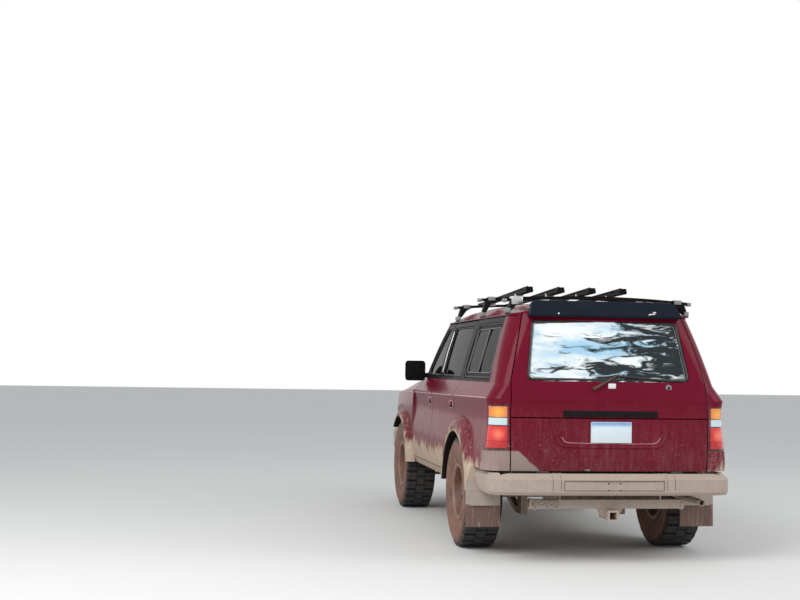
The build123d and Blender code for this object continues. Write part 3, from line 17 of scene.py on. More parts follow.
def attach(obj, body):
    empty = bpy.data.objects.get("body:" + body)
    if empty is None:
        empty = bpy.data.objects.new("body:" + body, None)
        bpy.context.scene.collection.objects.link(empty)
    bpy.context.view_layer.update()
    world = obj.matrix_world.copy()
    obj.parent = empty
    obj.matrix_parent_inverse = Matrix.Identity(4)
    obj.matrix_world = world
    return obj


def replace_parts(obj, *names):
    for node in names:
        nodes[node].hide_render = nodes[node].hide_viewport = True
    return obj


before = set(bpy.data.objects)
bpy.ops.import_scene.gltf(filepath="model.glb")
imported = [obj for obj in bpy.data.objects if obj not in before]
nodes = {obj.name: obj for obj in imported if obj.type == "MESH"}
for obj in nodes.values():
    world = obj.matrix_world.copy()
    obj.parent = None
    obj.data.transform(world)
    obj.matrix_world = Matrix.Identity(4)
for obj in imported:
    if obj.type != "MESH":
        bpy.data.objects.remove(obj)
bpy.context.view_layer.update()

# %% [markdown]
# ## Building materials from nodes
#
# Each finish on the vehicle is a Principled shader with a few procedural nodes in front of it. Image
# textures would need an unwrapped layout for every panel, and these nodes need none. The first two
# helpers start a material and add one node with its links.


# %% Materials and nodes
def finish_of(name, **sockets):
    """A new material and its node tree. Sockets are set on the shader itself."""
    material = bpy.data.materials.new(name)
    material.use_nodes = True
    tree = material.node_tree
    shader = tree.nodes["Principled BSDF"]
    for socket, value in sockets.items():
        shader.inputs[socket.replace("_", " ")].default_value = value
    return material, tree, shader


def node(tree, kind, inputs=(), **settings):
    """Adds a node. Inputs are (socket, value or output socket) pairs."""
    made = tree.nodes.new("ShaderNode" + kind)
    for key, value in settings.items():
        setattr(made, key, value)
    for socket, value in inputs:
        if isinstance(value, bpy.types.NodeSocket):
            tree.links.new(value, made.inputs[socket])
        else:
            made.inputs[socket].default_value = value
    return made


print("materials before dressing", len(bpy.data.materials))

# %% [markdown]
# ## Reading the surface
#
# Mud on the real vehicle goes by height and by how near a wheel is. Object coordinates tell both,
# because every piece keeps its place in its mesh, so height above the ground is simply Z. The Normal
# output tells which way a face looks. A noise texture breaks up edges that would look ruled.


# %% Place, facing and noise
def place(tree):
    """The Object coordinate of the surface, in metres."""
    return node(tree, "TexCoord").outputs["Object"]


def facing(tree):
    """The direction the surface faces, which turns with its piece."""
    return node(tree, "TexCoord").outputs["Normal"]


def axes_of(tree, where):
    """Three values of a point: across the vehicle, along it to the rear, and height."""
    return node(tree, "SeparateXYZ", [(0, where)]).outputs


def noise(tree, where, scale, detail=4.0, roughness=0.55, distortion=0.0):
    """A cloudy value between 0 and 1."""
    made = node(tree, "TexNoise", [("Vector", where), ("Scale", scale), ("Detail", detail)])
    made.inputs["Roughness"].default_value = roughness
    made.inputs["Distortion"].default_value = distortion
    return made.outputs["Fac"]


def drawn_out(tree, where, tall):
    """The place with its height scaled: below 1 draws a texture out upwards, above 1 flattens it."""
    return node(tree, "Mapping", [("Vector", where), ("Scale", (1.0, 1.0, tall))]).outputs[0]


print("surface readers ready: place, facing, axes and noise")

# %% [markdown]
# ## Calculating with nodes
#
# A finish is worked out as a sum is on paper. Values are added, multiplied or spread between two
# limits, and the result mixes two colours or raises a fine relief. One short helper for each kind of
# node keeps the finishes below readable.

# %% Sums, colours and relief
MIX_SOCKETS, MIX_RESULT = (0, 6, 7), 2


def calc(tree, operation, a, b=0.0, clamp=False):
    """One Math node."""
    return node(tree, "Math", [(0, a), (1, b)], operation=operation, use_clamp=clamp).outputs[0]


def ramp_to(tree, value, low, high):
    """0 below low and 1 above high, or the other way round where low is the larger."""
    made = node(tree, "MapRange", [("Value", value), ("From Min", low), ("From Max", high)])
    made.clamp = True
    return made.outputs["Result"]


def mix(tree, factor, a, b):
    """Colour a where the factor is 0 and b where it is 1."""
    sockets = list(zip(MIX_SOCKETS, (factor, a, b)))
    return node(tree, "Mix", sockets, data_type="RGBA").outputs[MIX_RESULT]


def bump(tree, shader, height, strength, distance):
    """Joins a height to the shader as small relief. Distance is in metres."""
    made = node(tree, "Bump", [("Strength", strength), ("Distance", distance), ("Height", height)])
    tree.links.new(made.outputs["Normal"], shader.inputs["Normal"])


print("node helpers ready: sums, ramps, colours and relief")

# %% [markdown]
# ## A thin film of dust
#
# The vehicle has been driven up a muddy track. A thin tan film lies on its lower half, with dried
# runs and specks in it, and fades out with height. A plain ramp of height would look sprayed on, so
# noise breaks it up. The same noise drawn out along Z gives the runs.

# %% Dust film
AXLES = (-1.545, 1.305)
HUB_HEIGHT = 0.425
FILM_TOP, FILM_FULL = 1.20, 0.66


def side_view(tree, where):
    """A point seen from the side: its distance across is taken out."""
    _, along, height = axes_of(tree, where)
    return node(tree, "CombineXYZ", [("Y", along), ("Z", height)]).outputs[0]


def hub_distance(tree, where, axle):
    """How far a point is from an axle, seen from the side, in metres."""
    ends = [(0, side_view(tree, where)), (1, (0.0, axle, HUB_HEIGHT))]
    return node(tree, "VectorMath", ends, operation="DISTANCE").outputs[1]


def dust_film(tree, where, tall, height, film):
    """Thin dust with runs and specks. Film is its share of cover."""
    spots = ramp_to(tree, noise(tree, where, 55.0, 3.0, 0.7), 0.56, 0.70)
    runs = ramp_to(tree, noise(tree, tall, 26.0, 5.0, 0.7), 0.44, 0.66)
    fade = ramp_to(tree, height, FILM_TOP, FILM_FULL)
    cover = calc(tree, "ADD", calc(tree, "MULTIPLY", runs, film * 1.6), film)
    speckle = calc(tree, "MULTIPLY", spots, calc(tree, "MULTIPLY", fade, min(film * 4.0, 0.5)))
    return calc(tree, "MAXIMUM", calc(tree, "MULTIPLY", fade, cover), speckle)


print("the film fades between", FILM_FULL, "and", FILM_TOP, "m above the ground")

# %% [markdown]
# ## Caked mud
#
# At the sills and behind the wheels the film turns into a solid crust with a ragged upper edge. One
# helper works the amount out for every finish. It takes the height above the ground, adds noise to
# it, and adds more round each axle, where the tyres throw the mud.

# %% Mud amount
MUD = (0.47, 0.36, 0.27, 1.0)
THROWN_LIMIT, THROWN_FULL = 0.515, 0.475
CRUST_EDGE = 0.03


def mud_amount(tree, crust=0.66, ragged=0.16, film=0.25, arches=True):
    """0 where the finish is clean and 1 where it is caked."""
    where = place(tree)
    _, _, height = axes_of(tree, where)
    tall = drawn_out(tree, where, 0.35)
    wobble = noise(tree, tall, 9.0, 6.0, 0.65)
    lift = calc(tree, "MULTIPLY", calc(tree, "SUBTRACT", wobble, 0.5), ragged * 2.4)
    caked = ramp_to(tree, calc(tree, "ADD", height, lift), crust + CRUST_EDGE, crust - CRUST_EDGE)
    for axle in AXLES if arches else ():
        reach = calc(tree, "ADD", hub_distance(tree, where, axle), lift)
        caked = calc(tree, "MAXIMUM", caked, ramp_to(tree, reach, THROWN_LIMIT, THROWN_FULL))
    thin = dust_film(tree, where, tall, height, film)
    return calc(tree, "MAXIMUM", caked, thin, clamp=True)


print("mud is thrown up to", THROWN_LIMIT, "m from an axle")

# %% [markdown]
# ## Wheel arch shade
#
# The inside of a wheel arch lies in shade, which is painted here as a near black colour, while the
# panel round it is painted red, but both are one CAD piece. The two faces look different ways: the inner
# one faces the hub. So the direction from the hub is compared with the direction the face looks, which
# needs no second material slot.


# %% Wheel arch shade
def arch_shade(tree, where):
    """1 on the inner faces of the wheel arches, where shade is painted, and 0 elsewhere."""
    shade = 0.0
    for axle in AXLES:
        ends = [(0, side_view(tree, where)), (1, (0.0, axle, HUB_HEIGHT))]
        away = node(tree, "VectorMath", ends, operation="SUBTRACT").outputs[0]
        outward = node(tree, "VectorMath", [(0, away)], operation="NORMALIZE").outputs[0]
        pair = [(0, outward), (1, facing(tree))]
        turned = node(tree, "VectorMath", pair, operation="DOT_PRODUCT").outputs[1]
        close = ramp_to(tree, hub_distance(tree, where, axle), 0.66, 0.63)
        inner = calc(tree, "MULTIPLY", ramp_to(tree, turned, -0.35, -0.60), close)
        shade = calc(tree, "MAXIMUM", shade, inner)
    return shade


print("arch shade round", len(AXLES), "axles")

# %% [markdown]
# ## Splashes and cabin trim
#
# Mud that dried on the sides is left as pale specks and runs, which end at the shoulder. Inside, a
# door shows grey trim and no paint. Its skin and trim are one CAD piece, so the trim is told by its
# facing: it is the face that looks back towards the middle of the vehicle.


# %% Splashes and cabin trim
def splash_amount(tree, where, height):
    """Pale specks and dried runs below the shoulder, denser towards the sills."""
    specks = ramp_to(tree, noise(tree, where, 75.0, 2.0, 0.6), 0.63, 0.70)
    tall = drawn_out(tree, where, 0.10)
    runs = ramp_to(tree, noise(tree, tall, 34.0, 3.0, 0.6), 0.50, 0.74)
    marks = calc(tree, "MAXIMUM", specks, calc(tree, "MULTIPLY", runs, 0.36))
    fade = calc(tree, "MULTIPLY", ramp_to(tree, height, 1.17, 0.80), ramp_to(tree, height, 1.19, 1.15))
    return calc(tree, "MULTIPLY", marks, calc(tree, "ADD", fade, 0.06), clamp=True)


def cabin_side(tree, across, height):
    """1 on faces of doors and sides that look into the cabin."""
    sideways, _, _ = axes_of(tree, facing(tree))
    inward = calc(tree, "MULTIPLY", calc(tree, "SIGN", across), sideways)
    above_floor = ramp_to(tree, height, 0.60, 0.62)
    return calc(tree, "MULTIPLY", ramp_to(tree, inward, -0.45, -0.55), above_floor)


print("splashes end at the shoulder, and trim starts above the floor")

# %% [markdown]
# ## Black frames and a dusty corner
#
# The window pillars and door frames are black on this vehicle, from the belt line to the gutter. They
# are part of the painted CAD pieces, so the colour changes with height. The lower left corner of the
# tail is hidden under grey dust with a slanting edge, which is a straight line in X and Z with a
# little noise on it.

# %% Window band and tail corner
BELT_LINE, FRAME_TOP, BAND_EDGE = 1.290, 1.790, 0.0005


def frame_band(tree, along, height, rear_limit):
    """1 where frames are black: between belt line and gutter, ahead of a slanted line."""
    above = ramp_to(tree, height, BELT_LINE - BAND_EDGE, BELT_LINE + BAND_EDGE)
    below = ramp_to(tree, height, FRAME_TOP + BAND_EDGE, FRAME_TOP - BAND_EDGE)
    slanted = calc(tree, "ADD", calc(tree, "MULTIPLY", height, 0.20), along)
    ahead = ramp_to(tree, slanted, rear_limit + 0.001, rear_limit)
    return calc(tree, "MULTIPLY", calc(tree, "MULTIPLY", above, below), ahead)


def corner_amount(tree, where, across, along, height):
    """1 on the lower left corner of the tail."""
    wobble = calc(tree, "MULTIPLY", noise(tree, where, 22.0, 4.0), 0.03)
    slope = calc(tree, "ADD", calc(tree, "MULTIPLY", across, 0.9), wobble)
    edge = calc(tree, "MINIMUM", calc(tree, "ADD", slope, 0.186), 0.812)
    low = ramp_to(tree, calc(tree, "SUBTRACT", edge, height), 0.0, 0.014)
    return calc(tree, "MULTIPLY", low, ramp_to(tree, along, 2.10, 2.12))


print("frames are black from", BELT_LINE, "to", FRAME_TOP, "m")

# %% [markdown]
# ## Paint
#
# The paint is a dark red with a clear coat that has dulled a little. The colour varies slightly from
# cloud to cloud, dust lies on it by height, and the caked part is rough. A low specular level and a
# thin coat keep the red deep under a bright backdrop, which would otherwise wash it out.

# %% Paint
PAINT_DARK, PAINT_LIGHT = (0.110, 0.0030, 0.014, 1.0), (0.165, 0.0055, 0.024, 1.0)
DUST_DARK, DUST_LIGHT = (0.40, 0.30, 0.225, 1.0), (0.56, 0.45, 0.35, 1.0)
GREY_DUST = (0.330, 0.265, 0.240, 1.0)
SPLASH_PINK = (0.42, 0.250, 0.250, 1.0)
TRIM_GREY = (0.120, 0.112, 0.105, 1.0)
# painted shade inside the wheel arches
ARCH_PAINTED_SHADE = (0.020, 0.016, 0.014, 1.0)
FRAME_COLOUR = (0.014, 0.014, 0.015, 1.0)


def paint(name, black_band=0.0, tail_corner=False, crust=0.70, film=0.07, splashed=True):
    """Dark red paint under dust. The band turns door frames and window pillars black."""
    tint = (1.0, 0.42, 0.55, 1.0)
    clear_coat = {"Coat_Roughness": 0.12, "Coat_IOR": 1.25}
    material, tree, shader = finish_of(name, Specular_IOR_Level=0.012, Specular_Tint=tint, **clear_coat)
    where = place(tree)
    across, along, height = axes_of(tree, where)
    colour = mix(tree, noise(tree, where, 2.3, 3.0), PAINT_DARK, PAINT_LIGHT)
    if black_band:
        band = frame_band(tree, along, height, black_band)
        colour = mix(tree, band, colour, FRAME_COLOUR)
    amount = mud_amount(tree, crust=crust, film=film)
    painted = mix(tree, amount, colour, mix(tree, noise(tree, where, 14.0), DUST_DARK, DUST_LIGHT))
    if tail_corner:
        corner = corner_amount(tree, where, across, along, height)
        painted = mix(tree, calc(tree, "MULTIPLY", corner, 0.85), painted, GREY_DUST)
        amount = calc(tree, "MAXIMUM", amount, calc(tree, "MULTIPLY", corner, 0.5))
    splashes = calc(tree, "MULTIPLY", splash_amount(tree, where, height), 1.0 if splashed else 0.3)
    painted = mix(tree, splashes, painted, SPLASH_PINK)
    if splashed:
        painted = mix(tree, cabin_side(tree, across, height), painted, TRIM_GREY)
    # painted shade on the inner faces of the wheel arches
    painted = mix(tree, arch_shade(tree, where), painted, ARCH_PAINTED_SHADE)
    tree.links.new(painted, shader.inputs["Base Color"])
    rough = calc(tree, "ADD", calc(tree, "MULTIPLY", amount, 0.60), 0.30)
    tree.links.new(rough, shader.inputs["Roughness"])
    gloss = calc(tree, "SUBTRACT", 0.45, calc(tree, "MULTIPLY", amount, 1.6), clamp=True)
    if black_band:
        gloss = calc(tree, "SUBTRACT", gloss, calc(tree, "MULTIPLY", band, 0.42), clamp=True)
    tree.links.new(gloss, shader.inputs["Coat Weight"])
    bump(tree, shader, calc(tree, "MULTIPLY", amount, noise(tree, where, 120.0, 6.0)), 0.35, 0.002)
    return material


print("paint mixes", PAINT_DARK[:3], "and", PAINT_LIGHT[:3])

# %% [markdown]
# ## Five paints from one recipe
#
# The doors carry the black band over their whole length, and the body sides only as far back as the
# quarter window. Roof, bonnet and wings have none. The tail and the engine bay are less splashed,
# because no tyre throws mud straight at them. One recipe with a few settings keeps the red the same on all.

# %% Paints
NO_REAR_LIMIT, QUARTER_LIMIT = 9.0, 2.245
body_paint = paint("dark red paint with dust")
door_paint = paint("dark red paint with black frames", NO_REAR_LIMIT)
side_paint = paint("dark red paint with black window surround", QUARTER_LIMIT, tail_corner=True)
bay_paint = paint("dark red paint of the engine bay", crust=0.45, film=0.05, splashed=False)
rear_paint = paint("dark red paint of the tail", tail_corner=True, crust=0.55, film=0.03, splashed=False)
print("paints", len([made for made in bpy.data.materials if "red paint" in made.name]))

# %% [markdown]
# ## Plastics, rubber, steel and castings
#
# The other hard finishes share one recipe: a base colour that varies a little, dust or mud on top,
# and a fine relief. Only their numbers differ, so one function makes them all.


# %% Dusty finishes
def dusty(name, dark, light, scale, rough, relief=0.3, mud=MUD, dirt=None, **sockets):
    """A plain finish under dust and mud. dirt holds mud_amount's own settings."""
    material, tree, shader = finish_of(name, **sockets)
    where = place(tree)
    colour = mix(tree, noise(tree, where, scale, 5.0), (*dark, 1.0), (*light, 1.0))
    amount = mud_amount(tree, **(dirt or {}))
    shade = tuple(0.74 * c for c in mud[:3]) + (1.0,)
    soil = mix(tree, noise(tree, where, 17.0, 6.0, 0.7), shade, mud)
    tree.links.new(mix(tree, amount, colour, soil), shader.inputs["Base Color"])
    dull = calc(tree, "MAXIMUM", calc(tree, "MULTIPLY", amount, 0.9), rough)
    tree.links.new(dull, shader.inputs["Roughness"])
    grain = calc(tree, "ADD", noise(tree, where, scale * 30, 4.0), calc(tree, "MULTIPLY", amount, 0.4))
    bump(tree, shader, grain, relief, 0.001)
    return material


def grey(low, high, warm=0.0):
    """Two near greys, a little warm."""
    return [(v * (1 + warm), v, v * (1 - warm)) for v in (low, high)]


print("one recipe for hard finishes, with mud", MUD[:3])

# %% [markdown]
# ## Blacks
#
# Grille, mirrors, window frames, rack and spoiler are black plastic or painted metal, each a little
# different: the spoiler is bluish and the rubber dull. A low specular level keeps them black in front
# of a white backdrop. Their film of dust is thin.

# %% Blacks
deep = {"Specular_IOR_Level": 0.02}
satin_black = dusty("satin black plastic", *grey(0.006, 0.013), 20.0, 0.42, dirt={"film": 0.04}, **deep)
spoiler_black = dusty("blue black spoiler", (0.008, 0.011, 0.017), (0.016, 0.021, 0.031), 6.0, 0.34, **deep)
frame_black = dusty("black window frame", *grey(0.006, 0.014), 26.0, 0.38, dirt={"film": 0.02}, **deep)
rack_black = dusty("rack black", *grey(0.006, 0.015), 16.0, 0.4, dirt={"film": 0.03}, **deep)
rubber_seal = dusty("window rubber", *grey(0.012, 0.028), 30.0, 0.5, dirt={"film": 0.1})
print("blacks", [made.name for made in (satin_black, spoiler_black, frame_black, rack_black, rubber_seal)])

# %% [markdown]
# ## Bumper, chassis and hitch
#
# Dried mud has made all of the plastic bumper pale tan, so its base colour is close to the mud's.
# Frame, castings and exhaust are dark or grey metal with a crust up to their middle. The hitch bar
# took the same pale mud as the bumper above it.

# %% Bumper, chassis and hitch
PALE_MUD = (0.44, 0.350, 0.290, 1.0)
bumper_finish = dusty(
    "muddy bumper",
    (0.30, 0.245, 0.210),
    (0.52, 0.44, 0.385),
    6.0,
    0.55,
    mud=PALE_MUD,
    dirt={"crust": 0.56, "film": 0.72, "ragged": 0.10, "arches": False},
)
chassis_paint = dusty("chassis paint", *grey(0.018, 0.042, 0.1), 9.0, 0.6, dirt={"crust": 0.45, "film": 0.4})
casting = dusty("raw casting", *grey(0.06, 0.13, 0.15), 14.0, 0.7, dirt={"crust": 0.34, "film": 0.5})
steel = dusty("weathered steel", *grey(0.16, 0.30, 0.12), 18.0, 0.45, dirt={"crust": 0.42, "film": 0.6})
hitch_steel = dusty(
    "dusty hitch",
    (0.24, 0.185, 0.150),
    (0.42, 0.34, 0.28),
    18.0,
    0.6,
    mud=PALE_MUD,
    dirt={"crust": 0.42, "film": 0.45},
)
print("lower finishes", [made.name for made in (bumper_finish, chassis_paint, casting, steel, hitch_steel)])

# %% [markdown]
# ## Small trims
#
# Seams, bolt holes with their painted shade, clamps, links and the pale lines of painted highlight on pressed
# edges are only a few millimetres wide, so a flat colour would nearly do. They use the recipe too, because a
# speck of dust on a pale clamp makes it sit on the vehicle. Pieces near the ground that have to stay readable
# are kept free of the crust.

# %% Small trims
no_crust = {"film": 0.1, "crust": 0.2, "arches": False}
no_dust = {"film": 0.0, "crust": 0.1, "arches": False}
light_film = {"film": 0.05}
seam_dark = dusty("dark seam", (0.085, 0.068, 0.056), (0.135, 0.110, 0.090), 40.0, 0.8, dirt=no_crust)
# near black discs: the painted shade inside bolt holes
bolt_hole_shade = dusty("painted shade in a bolt hole", *grey(0.004, 0.008), 40.0, 0.9, dirt=no_dust)
chain_rust = dusty("rusty chain", (0.20, 0.13, 0.09), (0.50, 0.44, 0.38), 60.0, 0.7, dirt=no_crust)
rack_grey = dusty("grey rack clamp", *grey(0.16, 0.30), 30.0, 0.45, dirt=light_film)
line_grey = dusty("grey window line", *grey(0.14, 0.26), 30.0, 0.45, dirt=light_film)
silver_trim = dusty("bright trim", *grey(0.46, 0.62), 40.0, 0.24, dirt=light_film, Metallic=0.85)
white_plastic = dusty("white plastic", *grey(0.62, 0.78), 30.0, 0.4, dirt=light_film)
# pale pink lines that paint the highlight on pressed edges, handle rims and the recess crease
edge_highlight = dusty("painted highlight on pressed edges", (0.44, 0.17, 0.22), (0.60, 0.34, 0.38), 24.0, 0.4, dirt={"film": 0.3})
arm_browns = (0.020, 0.014, 0.012), (0.16, 0.060, 0.036)
wiper_brown = dusty("rusted wiper arm", *arm_browns, 50.0, 0.6, dirt=light_film)
print("materials so far", len(bpy.data.materials))

# %% [markdown]
# ## Tread blocks
#
# The CAD tyre has the lugs of its shoulders as real shapes, and a plain middle. The gaps between the
# inner blocks would take thousands of faces on each tyre, so here they are sunken lines in the relief,
# and these and the real shoulder gaps get a painted shade, near black, as deep in a groove. The angle
# round the hub counts the lugs, so the drawn blocks stay in line with the real ones.

# %% Tread blocks
LUGS, TREAD_MIDDLE = 28, 0.795
SHOULDER_FROM, RING_AT = 0.036, 0.041


def tread_grooves(tree, where):
    """1 in the gaps between the tread blocks. Lugs are counted round the nearer axle."""
    across, along, height = axes_of(tree, where)
    between = sum(AXLES) / 2
    at_rear = ramp_to(tree, along, between - 0.001, between + 0.001)
    to_hub = calc(tree, "MULTIPLY", at_rear, AXLES[1] - AXLES[0])
    behind = calc(tree, "SUBTRACT", calc(tree, "SUBTRACT", along, AXLES[0]), to_hub)
    turned = calc(tree, "ARCTAN2", calc(tree, "SUBTRACT", height, HUB_HEIGHT), behind)
    lug = calc(tree, "FRACT", calc(tree, "MULTIPLY", turned, LUGS / math.tau))
    from_gap = calc(tree, "ABSOLUTE", calc(tree, "SUBTRACT", lug, 0.5))
    off = calc(tree, "ABSOLUTE", calc(tree, "SUBTRACT", calc(tree, "ABSOLUTE", across), TREAD_MIDDLE))
    shoulder = ramp_to(tree, off, SHOULDER_FROM, SHOULDER_FROM + 0.001)
    wide_gap, slit = ramp_to(tree, from_gap, 0.14, 0.12), ramp_to(tree, from_gap, 0.455, 0.475)
    side_gap = calc(tree, "MULTIPLY", calc(tree, "MAXIMUM", wide_gap, slit), shoulder)
    middle = calc(tree, "SUBTRACT", 1.0, shoulder)
    centre_gap = calc(tree, "MULTIPLY", ramp_to(tree, from_gap, 0.37, 0.40), middle)
    ring = ramp_to(tree, calc(tree, "ABSOLUTE", calc(tree, "SUBTRACT", off, RING_AT)), 0.006, 0.004)
    return calc(tree, "MAXIMUM", calc(tree, "MAXIMUM", side_gap, centre_gap), ring)


print("tread blocks", LUGS, "round a tyre, its middle", TREAD_MIDDLE, "m out")

# %% [markdown]
# ## Tyres and wheels
#
# Fresh mud on the wheels is redder and wetter than the dry dust above. It covers each wheel from the
# hub outwards and thins out on the tread, which the road wipes clean. The distance from the hub says
# how much lies at a point, so the pattern is right on all four wheels.

# %% Tyres and wheels
RED_SOIL, PALE_SOIL = (0.155, 0.062, 0.040, 1.0), (0.30, 0.155, 0.105, 1.0)
GROOVE_PAINTED_SHADE = (0.003, 0.003, 0.003, 1.0)


def wheel_finish(name, clean, muddy_to, strength, treaded=False, **sockets):
    """Rubber or alloy with red mud from the hub to a radius, thinner outside it."""
    material, tree, shader = finish_of(name, **sockets)
    where = place(tree)
    front, rear = [hub_distance(tree, where, axle) for axle in AXLES]
    reach = calc(tree, "MINIMUM", front, rear)
    outer = ramp_to(tree, reach, muddy_to, muddy_to - 0.03)
    inside = calc(tree, "MULTIPLY", outer, ramp_to(tree, reach, 0.0, 0.02))
    patches = ramp_to(tree, noise(tree, where, 9.0, 6.0, 0.7), 0.36, 0.56)
    thick = calc(tree, "ADD", calc(tree, "MULTIPLY", patches, 0.45), strength)
    amount = calc(tree, "MULTIPLY", inside, thick)
    grit = ramp_to(tree, noise(tree, where, 34.0, 5.0, 0.7), 0.52, 0.72)
    amount = calc(tree, "MAXIMUM", amount, calc(tree, "MULTIPLY", grit, 0.30), clamp=True)
    soil = mix(tree, noise(tree, where, 15.0, 5.0), RED_SOIL, PALE_SOIL)
    darker, lighter = [(*(share * c for c in clean), 1.0) for share in (0.8, 1.2)]
    base = mix(tree, noise(tree, where, 12.0), darker, lighter)
    tone = mix(tree, amount, base, soil)
    relief = calc(tree, "ADD", noise(tree, where, 160.0, 4.0), amount)
    if treaded:
        gaps = calc(tree, "MULTIPLY", tread_grooves(tree, where), ramp_to(tree, reach, 0.385, 0.400))
        # painted shade, near black, in the tread gaps
        tone = mix(tree, gaps, tone, GROOVE_PAINTED_SHADE)
        relief = calc(tree, "SUBTRACT", relief, calc(tree, "MULTIPLY", gaps, 4.0))
    tree.links.new(tone, shader.inputs["Base Color"])
    bump(tree, shader, relief, 0.35, 0.0012)
    return material


tyre_rubber = wheel_finish("tyre rubber", (0.032, 0.030, 0.028), 0.405, 0.50, treaded=True, Roughness=0.82)
wheel_alloy = wheel_finish("muddy wheel", (0.24, 0.22, 0.20), 0.30, 0.52, Roughness=0.55, Metallic=0.3)
print("wheel finishes", tyre_rubber.name, "and", wheel_alloy.name)

# %% [markdown]
# ## Mud flaps
#
# The rubber flaps behind the rear wheels are brown with dried runs, and a small plate on each is pale
# with dust, like the flap's top. Flap and plate are one CAD node. The plate stands further back than
# the rubber, so its place along Y tells it apart.

# %% Mud flaps
FLAP_PLATE_Y, FLAP_TOP_Z = 1.840, 0.374
FLAP_BROWNS = (0.105, 0.058, 0.046, 1.0), (0.20, 0.125, 0.098, 1.0)
FLAP_PALES = (0.33, 0.275, 0.235, 1.0), (0.46, 0.39, 0.34, 1.0)

flap_rubber, flap_tree, flap_shader = finish_of("muddy flap", Roughness=0.8)
flap_place = place(flap_tree)
_, flap_along, flap_height = axes_of(flap_tree, flap_place)
brown = mix(flap_tree, noise(flap_tree, flap_place, 8.0), *FLAP_BROWNS)
runs = noise(flap_tree, drawn_out(flap_tree, flap_place, 0.12), 30.0, 4.0, 0.7)
runs = calc(flap_tree, "MULTIPLY", ramp_to(flap_tree, runs, 0.52, 0.74), 0.7)
brown = mix(flap_tree, runs, brown, (0.40, 0.31, 0.26, 1.0))
pale = mix(flap_tree, noise(flap_tree, flap_place, 11.0), *FLAP_PALES)
on_plate = ramp_to(flap_tree, flap_along, FLAP_PLATE_Y, FLAP_PLATE_Y + 0.001)
on_top = ramp_to(flap_tree, flap_height, FLAP_TOP_Z, FLAP_TOP_Z + 0.012)
flap_tone = mix(flap_tree, calc(flap_tree, "MAXIMUM", on_plate, on_top), brown, pale)
flap_tree.links.new(flap_tone, flap_shader.inputs["Base Color"])
bump(flap_tree, flap_shader, noise(flap_tree, flap_place, 140.0, 4.0), 0.3, 0.001)
print("flap plates stand behind y =", FLAP_PLATE_Y)

# %% [markdown]
# ## Cabin carpet
#
# The tub is one CAD piece with a carpet on top and a dusty underside. Both are horizontal, but they
# lie at different heights, so a short ramp in Z between them is enough.

# %% Cabin carpet
CARPET_FROM = 0.600
CARPETS = (0.040, 0.037, 0.034, 1.0), (0.075, 0.070, 0.064, 1.0)
UNDERSIDES = (0.09, 0.07, 0.058, 1.0), (0.26, 0.20, 0.155, 1.0)

cabin_floor, tub_tree, tub_shader = finish_of("cabin carpet and underside", Roughness=0.95)
tub_place = place(tub_tree)
carpet = mix(tub_tree, noise(tub_tree, tub_place, 60.0), *CARPETS)
below = mix(tub_tree, noise(tub_tree, tub_place, 9.0), *UNDERSIDES)
_, _, tub_height = axes_of(tub_tree, tub_place)
inside = ramp_to(tub_tree, tub_height, CARPET_FROM, CARPET_FROM + 0.012)
tub_tree.links.new(mix(tub_tree, inside, below, carpet), tub_shader.inputs["Base Color"])
bump(tub_tree, tub_shader, noise(tub_tree, tub_place, 220.0, 3.0), 0.5, 0.001)
print("carpet from", CARPET_FROM, "m up")

# %% [markdown]
# ## Tinted side glass
#
# The side windows are tinted, and the cabin shows faintly through them. Transmission in a Principled
# shader does that. Real glass would mirror the white backdrop, so the IOR is set close to 1, which
# leaves only a weak reflection.

# %% Tinted side glass
window_glass, glass_tree, glass_shader = finish_of(
    "tinted window glass", Roughness=0.03, IOR=1.08, Transmission_Weight=0.85, Specular_IOR_Level=0.02
)
tint = noise(glass_tree, place(glass_tree), 1.6, 2.0)
tinted = mix(glass_tree, tint, (0.016, 0.024, 0.021, 1.0), (0.034, 0.045, 0.040, 1.0))
glass_tree.links.new(tinted, glass_shader.inputs["Base Color"])
print("glass", window_glass.name)

# %% [markdown]
# ## Rear window
#
# The rear window mirrors a bright sky with dark shapes in front of it, darker to the right. There is
# no sky to mirror in a plain studio, so the glass is a mirror whose colour holds soft clouds and
# ragged dark streaks. Both are noise, flattened so that the streaks lie level, and a slanted ramp
# makes one side darker.

# %% Rear window
SKY_PALE, SKY_BLUE = (0.95, 1.0, 1.0, 1.0), (0.42, 0.68, 0.88, 1.0)
SHAPES_DARK = (0.030, 0.038, 0.042, 1.0)

tail_glass, tail_tree, tail_shader = finish_of("mirrored rear glass", Metallic=0.9, Roughness=0.06)
tail_place = place(tail_tree)
flattened = drawn_out(tail_tree, tail_place, 4.2)
streak = noise(tail_tree, flattened, 4.5, 8.0, 0.62, 0.9)
tail_across, _, tail_height = axes_of(tail_tree, tail_place)
slant = calc(tail_tree, "ADD", tail_across, calc(tail_tree, "MULTIPLY", tail_height, 0.9))
towards = ramp_to(tail_tree, slant, 1.85, 0.95)
shade_at = calc(tail_tree, "ADD", streak, calc(tail_tree, "MULTIPLY", towards, 0.22))
shaded = ramp_to(tail_tree, shade_at, 0.58, 0.68)
cloud = ramp_to(tail_tree, noise(tail_tree, flattened, 1.7, 5.0, 0.6, 0.4), 0.42, 0.62)
sky_tone = mix(tail_tree, cloud, SKY_PALE, SKY_BLUE)
tail_tree.links.new(mix(tail_tree, shaded, sky_tone, SHAPES_DARK), tail_shader.inputs["Base Color"])
print("rear glass", tail_glass.name)

# %% [markdown]
# ## Lamp lenses
#
# The tail lamp is one moulding with three colours, amber over clear over red in a black frame. Each
# colour fills the lamp from one height to the next, so height alone chooses it. A soft lighter spot
# round each bulb behind the lens is a painted highlight, and fine level ribs run across it.

# %% Lamp lenses
BULB_ACROSS = 0.825


